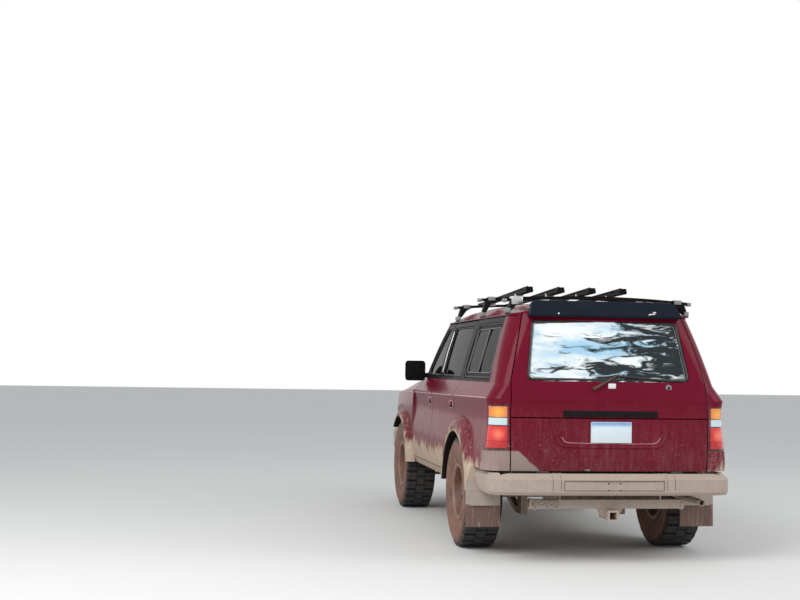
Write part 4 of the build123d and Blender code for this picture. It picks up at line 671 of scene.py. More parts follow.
def lamp_bands(name, bands, bulb_highlights):
    """A lens moulding whose colour depends on height: (upper edge in metres, colour) from below.
    Each bulb highlight is (height, lighter colour), painted round a bulb."""
    material, tree, shader = finish_of(name, Coat_Weight=0.8, Coat_Roughness=0.04, Roughness=0.18)
    where = place(tree)
    across, along, height = axes_of(tree, where)
    colour = (*bands[0][1], 1.0)
    for (edge, _), (_, above) in zip(bands, bands[1:]):
        colour = mix(tree, ramp_to(tree, height, edge - 0.0005, edge + 0.0005), colour, (*above, 1.0))
    spot = [("X", calc(tree, "ABSOLUTE", across)), ("Z", height)]
    # a lighter spot painted as a highlight round each bulb
    for bulb, bright in bulb_highlights:
        ends = [(0, node(tree, "CombineXYZ", spot).outputs[0]), (1, (BULB_ACROSS, 0.0, bulb))]
        far = node(tree, "VectorMath", ends, operation="DISTANCE").outputs[1]
        near = calc(tree, "MULTIPLY", ramp_to(tree, far, 0.050, 0.008), 0.75)
        near = calc(tree, "MULTIPLY", near, ramp_to(tree, along, 2.19, 2.21))
        colour = mix(tree, near, colour, (*bright, 1.0))
    tree.links.new(colour, shader.inputs["Base Color"])
    ribs = node(tree, "TexWave", [("Vector", where), ("Scale", 18.0)], bands_direction="Z")
    bump(tree, shader, ribs.outputs["Fac"], 0.25, 0.001)
    return material


BLACK, CLEAR, AMBER = (0.01, 0.01, 0.01), (0.55, 0.68, 0.72), (0.80, 0.22, 0.05)
RED, DEEP_RED, RED_BAR = (0.66, 0.010, 0.014), (0.50, 0.008, 0.012), (0.30, 0.01, 0.01)
tail_bands = [(0.826, BLACK), (0.872, DEEP_RED), (0.878, RED_BAR), (0.982, RED), (0.990, BLACK)]
tail_bands += [(1.040, CLEAR), (1.046, BLACK), (1.122, AMBER), (1.2, BLACK)]
tail_bulb_highlights = [(0.925, (0.90, 0.22, 0.10)), (1.080, (0.95, 0.50, 0.06))]
tail_lens = lamp_bands("tail lamp lens", tail_bands, tail_bulb_highlights)
head_lens = lamp_bands("front lamp lens", [(0.905, BLACK), (1.078, CLEAR), (1.2, BLACK)], [])
print("tail lens bands", len(tail_bands))

# %% [markdown]
# ## Seat cloth
#
# The cloth is a grey weave with a soft nap. Two sets of fine waves cross in its relief. It reads
# Object coordinates as well, because the padded pieces are shaped cubes without an unwrapped layout
# of their own. The sheen gives the nap its pale edge.

# %% Seat cloth
THREADS = 260.0
seat_cloth, cloth_tree, cloth_shader = finish_of("grey seat cloth", Roughness=0.92, Sheen_Weight=0.25)
cloth_place = place(cloth_tree)
cloth_waves = [("Vector", cloth_place), ("Scale", THREADS)]
threads = node(cloth_tree, "TexWave", cloth_waves, bands_direction="X").outputs["Fac"]
cross = node(cloth_tree, "TexWave", cloth_waves, bands_direction="DIAGONAL").outputs["Fac"]
worn = noise(cloth_tree, cloth_place, 6.0)
cloth_colour = mix(cloth_tree, worn, (0.20, 0.185, 0.17, 1.0), (0.29, 0.27, 0.25, 1.0))
cloth_tree.links.new(cloth_colour, cloth_shader.inputs["Base Color"])
bump(cloth_tree, cloth_shader, calc(cloth_tree, "MULTIPLY", threads, cross), 0.4, 0.0006)
print("seat cloth", seat_cloth.name)

# %% [markdown]
# ## Giving the CAD pieces their finish
#
# The CAD pieces that already have the right shape only change their material. A table says which
# finish goes on which nodes, so the choice is in one place, and the last line names any node that was
# left out.

# %% Finishes by node
BOTH = ("left", "right")
doors = [f"{end}_door_{side}" for end in ("front", "rear") for side in BOTH]
door_glasses = [f"{end}_door_glass_{side}" for end in ("front", "rear") for side in BOTH]
wheels = [f"{end}_{side}" for end in ("front", "rear") for side in BOTH]
finishes = {
    door_paint: doors,
    side_paint: ["body_side_left", "body_side_right"],
    rear_paint: ["hatch", "tailgate"],
    body_paint: ["roof_panel", "hood", "fender_left", "fender_right", "front_panel"],
    bay_paint: ["engine_bay", "firewall"],
    cabin_floor: ["body_tub", "load_floor"],
    window_glass: door_glasses + ["body_glass"],
    tail_glass: ["hatch_glass"],
    satin_black: ["grille", "dashboard", "steering_wheel", "mirror_left", "mirror_right"],
    spoiler_black: ["spoiler"],
    bumper_finish: ["front_bumper", "rear_bumper"],
    tyre_rubber: ["tyre_" + wheel for wheel in wheels],
    wheel_alloy: ["rim_" + wheel for wheel in wheels],
    flap_rubber: ["mud_flaps"],
    chassis_paint: ["chassis_frame", "fuel_tank", "suspension_links", "springs_dampers", "track_rod"],
    casting: ["engine_block", "front_axle", "rear_axle", "knuckle_left", "knuckle_right", "prop_shafts"],
    steel: ["exhaust"],
    hitch_steel: ["tow_hitch", "receiver_tube"],
    rack_black: ["roof_rack", "rack_trays"],
    tail_lens: ["tail_lamps"],
    head_lens: ["front_lamps"],
    seat_cloth: ["seats"],
}
for material, names in finishes.items():
    for name in names:
        for material_slot in nodes[name].material_slots:
            material_slot.material = material
dressed = {name for names in finishes.values() for name in names}
print("nodes with a finish", len(dressed), "left", sorted(set(nodes) - dressed))

# %% [markdown]
# ## Feeling for the CAD surface
#
# Every added piece is a small mesh or a thin curve that sits on a CAD surface. Its place could be
# typed in, but a body side is curved and leans inwards. A ray cast onto the CAD mesh gives the place
# instead, so a seal follows the lean of its window and a handle the curve of its door.

# %% Rays onto the CAD surface
SIDES = (("left", 1), ("right", -1))
OUTSIDE, BEHIND = 1.4, 3.0
surfaces = {}


def touch(name, start, direction):
    """Where a ray first meets a CAD piece."""
    if name not in surfaces:
        skin = bmesh.new()
        skin.from_mesh(nodes[name].data)
        surfaces[name] = BVHTree.FromBMesh(skin)
        skin.free()
    hit = surfaces[name].ray_cast(Vector(start), Vector(direction))[0]
    if hit is None:
        raise ValueError(f"no surface of {name} from {tuple(start)}")
    return hit


def side_x(name, side, y, z):
    """Distance of a side surface from the middle, at a height."""
    return abs(touch(name, (side * OUTSIDE, y, z), (-side, 0, 0)).x)


def tail_y(name, x, z):
    """How far back a rear surface is."""
    return touch(name, (x, BEHIND, z), (0, -1, 0)).y


def on_side(name, side, flat, proud):
    """Points of a flat (y, z) outline laid on a side surface, proud of it."""
    return [Vector((side * (side_x(name, side, y, z) + proud), y, z)) for y, z in flat]


def on_tail(name, flat, proud):
    """Points of a flat (x, z) outline laid on a rear surface, proud of it."""
    return [Vector((x, tail_y(name, x, z) + proud, z)) for x, z in flat]


print("the left rear door is", round(side_x("rear_door_left", 1, 0.5, 1.0), 3), "m from the middle")

# %% [markdown]
# ## Solid pieces
#
# Clamps, handles and collars are blocks and bars. A cube or cone is made by an operator, turned and
# sized by one matrix, and a block's edges are bevelled, because a sharp edge never catches the light.
# Several can go into one mesh, which then rides with one body.


# %% Blocks and bars
def settle(made, material, body):
    """Links a piece, gives it its finish and lets it ride."""
    made.data.materials.append(material)
    bpy.context.scene.collection.objects.link(made)
    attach(made, body)
    return made


def piece(name, bm, material, body):
    """Closes a bmesh as one piece with smooth faces and sharp edges."""
    bmesh.ops.recalc_face_normals(bm, faces=bm.faces)
    mesh = bpy.data.meshes.new(name)
    bm.to_mesh(mesh)
    bm.free()
    mesh.shade_smooth()
    mesh.set_sharp_from_angle(angle=math.radians(40))
    return settle(bpy.data.objects.new(name, mesh), material, body)


def block(bm, x, y, z, radius=0.002, turn=None):
    """A block between three (low, high) pairs, with its edges rounded."""
    middle = Vector([sum(pair) / 2 for pair in (x, y, z)])
    size = [high - low for low, high in (x, y, z)]
    matrix = Matrix.Translation(middle) @ (turn or Matrix()) @ Matrix.Diagonal((*size, 1.0))
    made = bmesh.ops.create_cube(bm, size=1.0, matrix=matrix)
    edges = list({edge for vert in made["verts"] for edge in vert.link_edges})
    bmesh.ops.bevel(bm, geom=edges, offset=radius, affect="EDGES", segments=2, profile=0.5, material=-1)


def rod(bm, start, end, radius, far_radius=None, segments=14):
    """A round bar or cone from one point to another."""
    along = Vector(end) - Vector(start)
    turn = along.to_track_quat("Z", "Y").to_matrix().to_4x4()
    matrix = Matrix.Translation((Vector(start) + Vector(end)) / 2) @ turn
    thin = radius if far_radius is None else far_radius
    bmesh.ops.create_cone(
        bm, cap_ends=True, segments=segments, radius1=radius, radius2=thin, depth=along.length, matrix=matrix
    )


print("piece makers ready: block and rod")

# %% [markdown]
# ## Rounded outlines
#
# Windows, handles and the plate are known by their sharp corners, but the real openings are rounded.
# This helper takes the corners and gives points with an arc at each. Its inset moves the outline
# inwards, so seals and frames round one window stay parallel.


# %% Rounded outlines
def oblong(across, up):
    """The four corners of a rectangle between two (low, high) pairs."""
    return [(across[0], up[0]), (across[1], up[0]), (across[1], up[1]), (across[0], up[1])]


def outline(corners, inset, radius, steps=7):
    """A closed flat outline inside sharp corners, with rounded corners of its own."""
    count, points = len(corners), []
    flat = [Vector(corner) for corner in corners]
    for index, here in enumerate(flat):
        before = (flat[index - 1] - here).normalized()
        after = (flat[(index + 1) % count] - here).normalized()
        half = before.angle(after) / 2
        corner = here + (before + after).normalized() * (inset / math.sin(half))
        round_r = max(radius - inset, 0.006)
        reach = round_r / math.tan(half)
        centre = corner + (before + after).normalized() * (round_r / math.sin(half))
        start, end = corner + before * reach - centre, corner + after * reach - centre
        sweep = start.angle(end)
        for step in range(steps + 1):
            t = step / steps
            arc = start * math.sin((1 - t) * sweep) + end * math.sin(t * sweep)
            points.append(centre + arc / math.sin(sweep))
    return points


print("a rounded outline has", len(outline(oblong((0.0, 0.1), (0.0, 0.1)), 0.0, 0.02)), "points")

# %% [markdown]
# ## Lines and frames
#
# A seal, a seam or a chain link is a round line through points on a surface. A curve with a bevel depth is
# the shortest way to it, and the points need no mesh of their own. A flat frame bridges two such
# outlines with faces and gives them a thickness.


# %% Lines and frames
def line(name, points, radius, material, body, closed=False):
    """A thin round line through points, as a seal, seam or chain link."""
    curve = bpy.data.curves.new(name, "CURVE")
    curve.dimensions = "3D"
    curve.bevel_depth = radius
    curve.bevel_resolution = 2
    curve.use_fill_caps = True
    spline = curve.splines.new("POLY")
    spline.points.add(len(points) - 1)
    for knot, at in zip(spline.points, points):
        knot.co = (*at, 1.0)
    spline.use_cyclic_u = closed
    return settle(bpy.data.objects.new(name, curve), material, body)


def border(name, outer, inner, material, body):
    """A flat frame between two closed lines of equally many points."""
    bm = bmesh.new()
    loops = []
    for points in (outer, inner):
        verts = [bm.verts.new(at) for at in points]
        loops += [bm.edges.new((a, b)) for a, b in zip(verts, verts[1:] + verts[:1])]
    bmesh.ops.bridge_loops(bm, edges=loops)
    bmesh.ops.solidify(bm, geom=bm.faces[:], thickness=0.0015)
    return piece(name, bm, material, body)


print("line makers ready: line and border")

# %% [markdown]
# ## Door window seals
#
# Each door window gets a rubber seal that follows its opening on the glass. A bright strip stands at
# the front edge of each rear door's glass. Both ride with their door, so they swing out with it.

# %% Door window seals
DOOR_WINDOWS = {
    "front": [(-0.774, 1.315), (-0.062, 1.315), (-0.062, 1.740), (-0.312, 1.740)],
    "rear": oblong((0.062, 0.923), (1.315, 1.740)),
}
BRIGHT_STRIP = [(0.078, 1.350), (0.078, 1.53), (0.078, 1.704)]

for side_name, side in SIDES:
    for end, corners in DOOR_WINDOWS.items():
        body = f"{end}_door_{side_name}"
        glass = f"{end}_door_glass_{side_name}"
        seal = on_side(glass, side, outline(corners, 0.010, 0.038), 0.004)
        line(f"seal_{body}", seal, 0.007, rubber_seal, body, closed=True)
    strip = on_side(f"rear_door_glass_{side_name}", side, BRIGHT_STRIP, 0.018)
    line(f"bright_strip_{side_name}", strip, 0.0075, silver_trim, f"rear_door_{side_name}")
print("door windows with seals", 2 * len(DOOR_WINDOWS))

# %% [markdown]
# ## Quarter windows
#
# The quarter window is a slider: a wide black frame with a thin grey line round its inside, and a
# middle post where the two panes meet. Frame and lines share one outline at different insets, so they
# stay parallel. The post leans with the glass.

# %% Quarter windows
QUARTER_WINDOW = [(1.060, 1.311), (1.970, 1.311), (1.880, 1.744), (1.060, 1.744)]
QUARTER_RINGS = ((0.010, 0.040, 0.005), (0.012, 0.040, 0.004), (0.046, 0.075, 0.004), (0.046, 0.075, 0.006))
POST_Y, POST_WIDTH, POST_ENDS = 1.500, 0.028, (1.362, 1.694)

for side_name, side in SIDES:
    rings = []
    for inset, radius, proud in QUARTER_RINGS:
        rings.append(on_side("body_glass", side, outline(QUARTER_WINDOW, inset, radius), proud))
    line(f"quarter_seal_{side_name}", rings[0], 0.008, rubber_seal, "body", closed=True)
    border(f"quarter_frame_{side_name}", rings[1], rings[2], frame_black, "body")
    line(f"quarter_line_{side_name}", rings[3], 0.0028, line_grey, "body", closed=True)
    low_x, high_x = (side * (side_x("body_glass", side, POST_Y, z) + 0.004) for z in POST_ENDS)
    turn = Matrix.Rotation(math.atan2(high_x - low_x, POST_ENDS[1] - POST_ENDS[0]), 4, "Y")
    middle = (low_x + high_x) / 2
    post = bmesh.new()
    wide = (POST_Y - POST_WIDTH / 2, POST_Y + POST_WIDTH / 2)
    block(post, (middle - 0.004, middle + 0.004), wide, (1.355, 1.701), 0.0015, turn)
    piece(f"quarter_post_{side_name}", post, frame_black, "body")
    for y in (1.484, 1.516):
        edge = on_side("body_glass", side, [(y, z) for z in POST_ENDS], 0.009)
        line(f"quarter_edge_{side_name}_{round(y * 1000)}", edge, 0.0022, line_grey, "body")
print("quarter windows", len(SIDES), "with", len(QUARTER_RINGS), "rings each")

# %% [markdown]
# ## Rear window seal
#
# The rear window has a heavier seal, with a thin grey line inside it. They are made as the door seals
# are, on the hatch glass.

# %% Rear window seal
HATCH_WINDOW = [(-0.618, 1.308), (0.618, 1.308), (0.556, 1.752), (-0.556, 1.752)]
rear_seal = on_tail("hatch_glass", outline(HATCH_WINDOW, 0.012, 0.045), 0.006)
line("rear_window_seal", rear_seal, 0.011, rubber_seal, "hatch", closed=True)
rear_line = on_tail("hatch_glass", outline(HATCH_WINDOW, 0.027, 0.060), 0.002)
line("rear_window_line", rear_line, 0.0022, rack_grey, "hatch", closed=True)
print("rear seal points", len(rear_seal))

# %% [markdown]
# ## Shoulder edge
#
# A pressed line runs along the sides at shoulder height, and the light it catches is painted on it as
# a pale pink highlight. It is a thin ridge half sunk in each panel it crosses, cut at the door gaps, so
# that every door takes its own part along.

# %% Shoulder edge
SHOULDER = {
    "fender": (-1.66, -1.02),
    "front_door": (-0.965, -0.022),
    "rear_door": (0.022, 0.965),
    "body_side": (1.01, 2.16),
}


def shoulder_height(y):
    """The pressed line rises a little towards the rear."""
    return 1.160 + 0.009 * y


for side_name, side in SIDES:
    for stem, (start, end) in SHOULDER.items():
        name = f"{stem}_{side_name}"
        body = name if "door" in stem else "body"
        steps = max(6, round((end - start) / 0.05))
        ys = [start + (end - start) * step / steps for step in range(steps + 1)]
        edge = on_side(name, side, [(y, shoulder_height(y)) for y in ys], -0.0012)
        # the pale colour of this ridge is a painted highlight
        line(f"shoulder_{name}", edge, 0.0046, edge_highlight, body)
print("shoulder lines", len(SIDES) * len(SHOULDER))

# %% [markdown]
# ## Door handles
#
# Each door has a recessed handle near its rear edge: a dark cup with a light rim, whose pale colour is
# the painted highlight of the shoulder edge, and a painted flap over its upper half. Cutting the cup into
# the door would mean changing a CAD piece, so a thin black plate is its painted shadow.

# %% Door handles
HANDLES = {"front": -0.130, "rear": 0.840}
HANDLE_HEIGHT = 1.09

for side_name, side in SIDES:
    for end, y in HANDLES.items():
        name = f"{end}_door_{side_name}"
        rim = outline(oblong((y - 0.078, y + 0.078), (1.062, 1.122)), 0.0, 0.026)
        rim = on_side(name, side, rim, 0.0005)
        # the rim line is coloured as a painted highlight
        line(f"handle_rim_{name}", rim, 0.0035, edge_highlight, name, closed=True)
        # the black plate in the cup is a painted shadow
        cup, flap = bmesh.new(), bmesh.new()
        x = side * (side_x(name, side, y, HANDLE_HEIGHT) + 0.0015)
        block(cup, (x - 0.002, x + 0.001), (y - 0.074, y + 0.074), (1.065, 1.119), 0.0008)
        piece(f"handle_cup_{name}", cup, satin_black, name)
        block(flap, (x - 0.002, x + 0.008 * side + 0.002), (y - 0.066, y + 0.050), (1.088, 1.114), 0.0016)
        piece(f"handle_flap_{name}", flap, door_paint, name)
print("door handles", len(SIDES) * len(HANDLES))

# %% [markdown]
# ## Mirror glass
#
# The mirror shells are CAD pieces on the front doors. A thin dark plate in the rear face of each is
# its glass, coloured with a painted dark reflection.

# %% Mirror glass
for side_name, side in SIDES:
    glass = bmesh.new()
    block(glass, sorted((side * 0.8475, side * 1.0145)), (-0.7535, -0.7495), (1.2745, 1.4375), 0.0018)
    piece(f"mirror_glass_{side_name}", glass, satin_black, f"front_door_{side_name}")
print("mirror glasses", len(SIDES))

# %% [markdown]
# ## Number plate
#
# The plate is pale, a little dusty, and has a blue upper edge. It stays blank. Its face is a thin
# block on the tailgate with four screws, and the blue is chosen by height in the material.

# %% Number plate
PLATE_X, PLATE_Z = 0.1525, (0.868, 1.020)
PLATE_DUSTY, PLATE_PALE = (0.60, 0.70, 0.76, 1.0), (0.72, 0.79, 0.82, 1.0)
PLATE_BLUE = (0.17, 0.36, 0.62, 1.0)

plate_shade, plate_tree, plate_shader = finish_of("blank plate", Roughness=0.35)
plate_place = place(plate_tree)
_, _, plate_height = axes_of(plate_tree, plate_place)
plate_dust = mix(plate_tree, noise(plate_tree, plate_place, 30.0, 5.0), PLATE_DUSTY, PLATE_PALE)
top_band = ramp_to(plate_tree, plate_height, 0.978, 1.004)
plate_tone = mix(plate_tree, top_band, plate_dust, PLATE_BLUE)
plate_tree.links.new(plate_tone, plate_shader.inputs["Base Color"])

plate_back = max(tail_y("tailgate", x, z) for x in (-0.15, 0.0, 0.15) for z in (0.87, 0.94, 1.015))
plate = bmesh.new()
block(plate, (-PLATE_X, PLATE_X), (plate_back + 0.0005, plate_back + 0.004), PLATE_Z, 0.0012)
for x in (-0.09, 0.09):
    for z in (0.882, 1.006):
        rod(plate, (x, plate_back + 0.003, z), (x, plate_back + 0.0065, z), 0.005)
piece("number_plate", plate, plate_shade, "tailgate")
plate_rim = outline(oblong((-PLATE_X, PLATE_X), PLATE_Z), 0.005, 0.016)
plate_edge = [(x, plate_back + 0.004, z) for x, z in plate_rim]
line("number_plate_edge", plate_edge, 0.0016, white_plastic, "tailgate", closed=True)
print("plate", round(2 * PLATE_X, 3), "m wide,", round(PLATE_Z[1] - PLATE_Z[0], 3), "m high")

# %% [markdown]
# ## Recess lip and hatch strip
#
# Round the plate the tailgate has a pressed recess. Its lower lip is a soft ridge, laid on the
# surface as a thick line half sunk in it, with a finer crease inside whose pale colour is a painted
# highlight. A black strip runs above the plate on the hatch.

# %% Recess lip and hatch strip
lip = [(0.445, 1.030), (0.418, 0.945), (0.392, 0.880), (0.372, 0.852), (0.340, 0.842), (0.15, 0.838)]
lip += [(-0.15, 0.836), (-0.345, 0.838), (-0.378, 0.850), (-0.400, 0.880), (-0.428, 0.950), (-0.452, 1.028)]
line("tailgate_recess_lip", on_tail("tailgate", lip, -0.004), 0.0110, rear_paint, "tailgate")
# the crease is pale with a painted highlight
inner_lip = on_tail("tailgate", [(0.93 * x, z + 0.026) for x, z in lip[2:-2]], -0.0040)
line("tailgate_recess_crease", inner_lip, 0.0050, edge_highlight, "tailgate")

strip = bmesh.new()
strip_y = tail_y("hatch", 0.0, 1.075)
block(strip, (-0.350, 0.355), (strip_y - 0.006, strip_y + 0.004), (1.052, 1.097), 0.003)
piece("hatch_strip", strip, satin_black, "hatch")
print("lip points", len(lip), "and the strip at y", round(strip_y, 3))

# %% [markdown]
# ## Rear wiper
#
# The wiper has a rust-brown arm on a pivot below the glass and a dark blade that lies on it. Three
# points say where it is: pivot, elbow and tip, each measured from the surface under it. Tapered bars
# join them, and short claws hold the rubber.

# %% Rear wiper
CLAWS = (0.0, 0.33, 0.66, 1.0)
pivot = Vector((0.120, tail_y("hatch", 0.120, 1.259) + 0.004, 1.259))
elbow = Vector((-0.050, tail_y("hatch_glass", -0.050, 1.350) + 0.020, 1.352))
tip = Vector((-0.428, tail_y("hatch_glass", -0.428, 1.330) + 0.014, 1.322))

arm = bmesh.new()
rod(arm, pivot - Vector((0, 0.02, 0)), pivot + Vector((0, 0.016, 0)), 0.017, 0.013)
rod(arm, pivot + Vector((0, 0.012, 0)), elbow, 0.0105, 0.0060)
piece("wiper_arm", arm, wiper_brown, "hatch")

blade = bmesh.new()
rod(blade, elbow + Vector((0.02, 0, 0.002)), tip, 0.0065, 0.0055)
for share in CLAWS:
    at = elbow.lerp(tip, share)
    rod(blade, at, at - Vector((0, 0.012, 0.010)), 0.0045)
rod(blade, elbow - Vector((0, 0.011, 0.012)), tip - Vector((0, 0.011, 0.010)), 0.0035)
piece("wiper_blade", blade, rubber_seal, "hatch")
print("wiper blade", round((tip - elbow).length, 3), "m long")

# %% [markdown]
# ## Lock, washer jet and lamp edges
#
# A pale lock button sits beside the wiper's pivot and a round washer jet further right. A dark rubber
# edge frames each tail lamp on three sides. All are a few blocks, discs and lines on the surface.

# %% Lock, washer jet and lamp edges
JET_X, JET_Z = -0.445, 1.268
LAMP_EDGE = ((0.866, 1.120), (0.761, 1.120), (0.761, 0.822), (0.866, 0.822))

button = bmesh.new()
button_y = tail_y("hatch", -0.013, 1.277)
block(button, (-0.042, 0.016), (button_y - 0.004, button_y + 0.010), (1.258, 1.296), 0.006)
piece("hatch_lock", button, white_plastic, "hatch")

jet, jet_eye = bmesh.new(), bmesh.new()
jet_y = tail_y("hatch", JET_X, JET_Z)
rod(jet, (JET_X, jet_y - 0.003, JET_Z), (JET_X, jet_y + 0.003, JET_Z), 0.024, 0.021, 24)
piece("hatch_jet", jet, rack_grey, "hatch")
rod(jet_eye, (JET_X, jet_y, JET_Z), (JET_X, jet_y + 0.007, JET_Z), 0.011, 0.008)
piece("hatch_jet_eye", jet_eye, satin_black, "hatch")

for side_name, side in SIDES:
    lamp_edge = on_tail("tail_lamps", [(side * x, z) for x, z in LAMP_EDGE], 0.0)
    line(f"lamp_edge_{side_name}", lamp_edge, 0.0036, rubber_seal, "body")
print("lock, jet and", len(SIDES), "lamp edges placed")

# %% [markdown]
# ## Spoiler marks and tailgate stop
#
# Small marks make the tail look used. The spoiler has a chip in three patches and a rivet, which are
# thin pale blocks and a small ball. A rubber stop sits low on the tailgate.

# %% Spoiler marks and tailgate stop
CHIPS = ((-0.352, 1.806, 0.040, 0.012), (-0.372, 1.818, 0.022, 0.016), (-0.330, 1.802, 0.018, 0.008))
RIVET_X, RIVET_Z, RIVET_RADIUS = 0.362, 1.800, 0.007

marks = bmesh.new()
for x, z, long, tall in CHIPS:
    back = tail_y("spoiler", x, z)
    wide, high = (x - long / 2, x + long / 2), (z - tall / 2, z + tall / 2)
    block(marks, wide, (back - 0.006, back + 0.0012), high, 0.0010)
rivet_at = Matrix.Translation((RIVET_X, tail_y("spoiler", RIVET_X, RIVET_Z), RIVET_Z))
bmesh.ops.create_uvsphere(marks, u_segments=12, v_segments=8, radius=RIVET_RADIUS, matrix=rivet_at)
piece("spoiler_marks", marks, white_plastic, "hatch")

stop = bmesh.new()
stop_y = tail_y("tailgate", 0.178, 0.672)
block(stop, (0.156, 0.200), (stop_y - 0.004, stop_y + 0.012), (0.666, 0.682), 0.003)
piece("tailgate_stop", stop, rubber_seal, "tailgate")
print("spoiler chips", len(CHIPS), "and the stop at y", round(stop_y, 3))

# %% [markdown]
# ## Bumper seams and bolt holes
#
# Upright seams divide the bumper on both sides of its step, and another frames the step. A thin dark
# line half sunk in the surface reads as a gap. The four bolt holes in the middle of the step are dark
# discs of painted shade, because their depth can't be seen.

# %% Bumper seams and bolt holes
SEAMS_ACROSS = (0.452, 0.392, -0.392, -0.452)
SEAM_HEIGHTS = (0.512, 0.545, 0.58, 0.61, 0.638)
HOLES_ACROSS, HOLE_HEIGHTS, HOLE_RADIUS = (-0.043, 0.043), (0.5355, 0.5845), 0.0062

for x in SEAMS_ACROSS:
    seam = on_tail("rear_bumper", [(x, z) for z in SEAM_HEIGHTS], 0.0002)
    line(f"bumper_seam_{round(x * 1000)}", seam, 0.0022, seam_dark, "body")
step_seam = on_tail("rear_bumper", outline(oblong((-0.369, 0.369), (0.533, 0.603)), 0.001, 0.004), 0.0)
line("bumper_step_seam", step_seam, 0.0020, seam_dark, "body", closed=True)

# near black discs of painted shade stand for the holes
bolt_holes = bmesh.new()
for x in HOLES_ACROSS:
    for z in HOLE_HEIGHTS:
        back = tail_y("rear_bumper", x + 0.014, z + 0.014)
        rod(bolt_holes, (x, back - 0.004, z), (x, back + 0.0004, z), HOLE_RADIUS, segments=20)
piece("bumper_bolt_holes", bolt_holes, bolt_hole_shade, "body")
print("bumper seams", len(SEAMS_ACROSS) + 1, "and bolt holes", len(HOLES_ACROSS) * len(HOLE_HEIGHTS))

# %% [markdown]
# ## Hitch collars and chain
#
# The hitch bar ends in a collar at each side. A short rusty chain hangs on it: five oval links, each
# turned against the last, and a hook. A rigid chain this short is enough as closed curves, with the
# lean of every link read off the picture.

# %% Hitch collars and chain
HITCH_Y, HITCH_Z, COLLAR_RADIUS = 2.270, 0.430, 0.041
COLLARS = ((-0.543, 0.014), (0.598, 0.002))
CHAIN_Y = 2.3065
LINKS = ((0.560, 0.418, 8), (0.500, 0.436, 70), (0.468, 0.428, 15), (0.436, 0.436, 80), (0.404, 0.424, 20))

hitch = bmesh.new()
for x, reach in COLLARS:
    rod(hitch, (x - 0.010, HITCH_Y, HITCH_Z), (x + reach, HITCH_Y, HITCH_Z), COLLAR_RADIUS, segments=28)
piece("hitch_collars", hitch, hitch_steel, "body")

oval = outline(oblong((-0.013, 0.013), (-0.026, 0.026)), 0.0, 0.013)
for index, (x, z, lean) in enumerate(LINKS):
    turned = Matrix.Translation((x, CHAIN_Y, z)) @ Matrix.Rotation(math.radians(-lean), 4, "Y")
    link = [turned @ Vector((a, 0.0, b)) for a, b in oval]
    line(f"chain_link_{index}", link, 0.0052, chain_rust, "body", closed=True)
hook = [(0.590, CHAIN_Y, 0.466), (0.592, 2.309, 0.440), (0.586, 2.310, 0.412)]
hook += [(0.572, 2.310, 0.402), (0.560, 2.309, 0.412)]
line("chain_hook", hook, 0.0065, chain_rust, "body")
print("collars", len(COLLARS), "and chain links", len(LINKS))

# %% [markdown]
# ## Roof bar fittings
#
# Grey caps close the roof bars and grey clamps hold their feet, one of them with a bright cover. The
# bars bow over the roof, so a short formula gives the height of a bar's top at any distance from the
# middle, and every fitting takes its place from it.

# %% Roof bar fittings
BARS = ((0.085, 1.9157), (1.080, 1.9385), (1.955, 1.8956))
CAP_AT, CLAMP_AT = 0.72, 0.604


def bar_height(roof, x):
    """Top of a roof bar."""
    return roof + 0.047 - 0.034 * (x / 0.730) ** 2


caps, clamps = bmesh.new(), bmesh.new()
for y, roof in BARS:
    top, crown = bar_height(roof, CAP_AT), bar_height(roof, CLAMP_AT)
    cap_z, clamp_z = (top - 0.0255, top + 0.0025), (crown - 0.026, crown + 0.008)
    for side in (1, -1):
        block(caps, sorted((side * 0.700, side * 0.7315)), (y - 0.0195, y + 0.0195), cap_z, 0.004)
        block(clamps, sorted((side * 0.590, side * 0.650)), (y - 0.0345, y + 0.0345), clamp_z, 0.006)
        block(clamps, sorted((side * 0.672, side * 0.708)), (y - 0.036, y + 0.036), (1.806, 1.842), 0.006)
        rod(clamps, (side * 0.700, y, 1.826), (side * 0.716, y, 1.826), 0.013, 0.010)
piece("rack_caps", caps, rack_grey, "body")
piece("rack_clamps", clamps, rack_grey, "body")

cover = bmesh.new()
crown = bar_height(BARS[2][1], CLAMP_AT)
block(cover, (0.582, 0.672), (1.917, 1.993), (crown - 0.052, crown + 0.011), 0.010)
piece("rack_cover", cover, silver_trim, "body")
print("roof bar fittings on", len(BARS), "bars")

# %% [markdown]
# ## Tray clamps
#
# Small pale clamps with a round nut fix the four carrier trays behind the two front bars. They are
# all in one mesh, because they are one kind of piece on one body.

# %% Tray clamps
TRAYS = (0.395, 0.140, -0.115, -0.370)

tray_clamps = bmesh.new()
for x in TRAYS:
    for y, roof in BARS[:2]:
        top = bar_height(roof, abs(x))
        block(tray_clamps, (x - 0.036, x + 0.036), (y + 0.020, y + 0.034), (top - 0.012, top + 0.022), 0.003)
        rod(tray_clamps, (x + 0.026, y + 0.034, top + 0.006), (x + 0.026, y + 0.044, top + 0.006), 0.008)
piece("tray_clamps", tray_clamps, white_plastic, "body")
print("clamps for", len(TRAYS), "trays")

# %% [markdown]
# ## Seat pads
#
# The CAD seats are plain closed solids, so padded pieces replace them. A cube is subdivided and drawn
# towards a rounded form, which crowns its faces and pulls its corners in. Sewn channels are pressed
# into the faces, and piping follows the edge. A cloth simulation could do this too, but takes long
# for a pad that is seen only dimly through dark glass.

# %% Seat pads
CUTS, CHANNEL_WIDTH = 17, 0.05
CROWN, CHANNEL_DEPTH, WAIST, SIDE_WAIST = 0.10, 0.10, 0.035, 0.03
PIPING_UP = 0.62


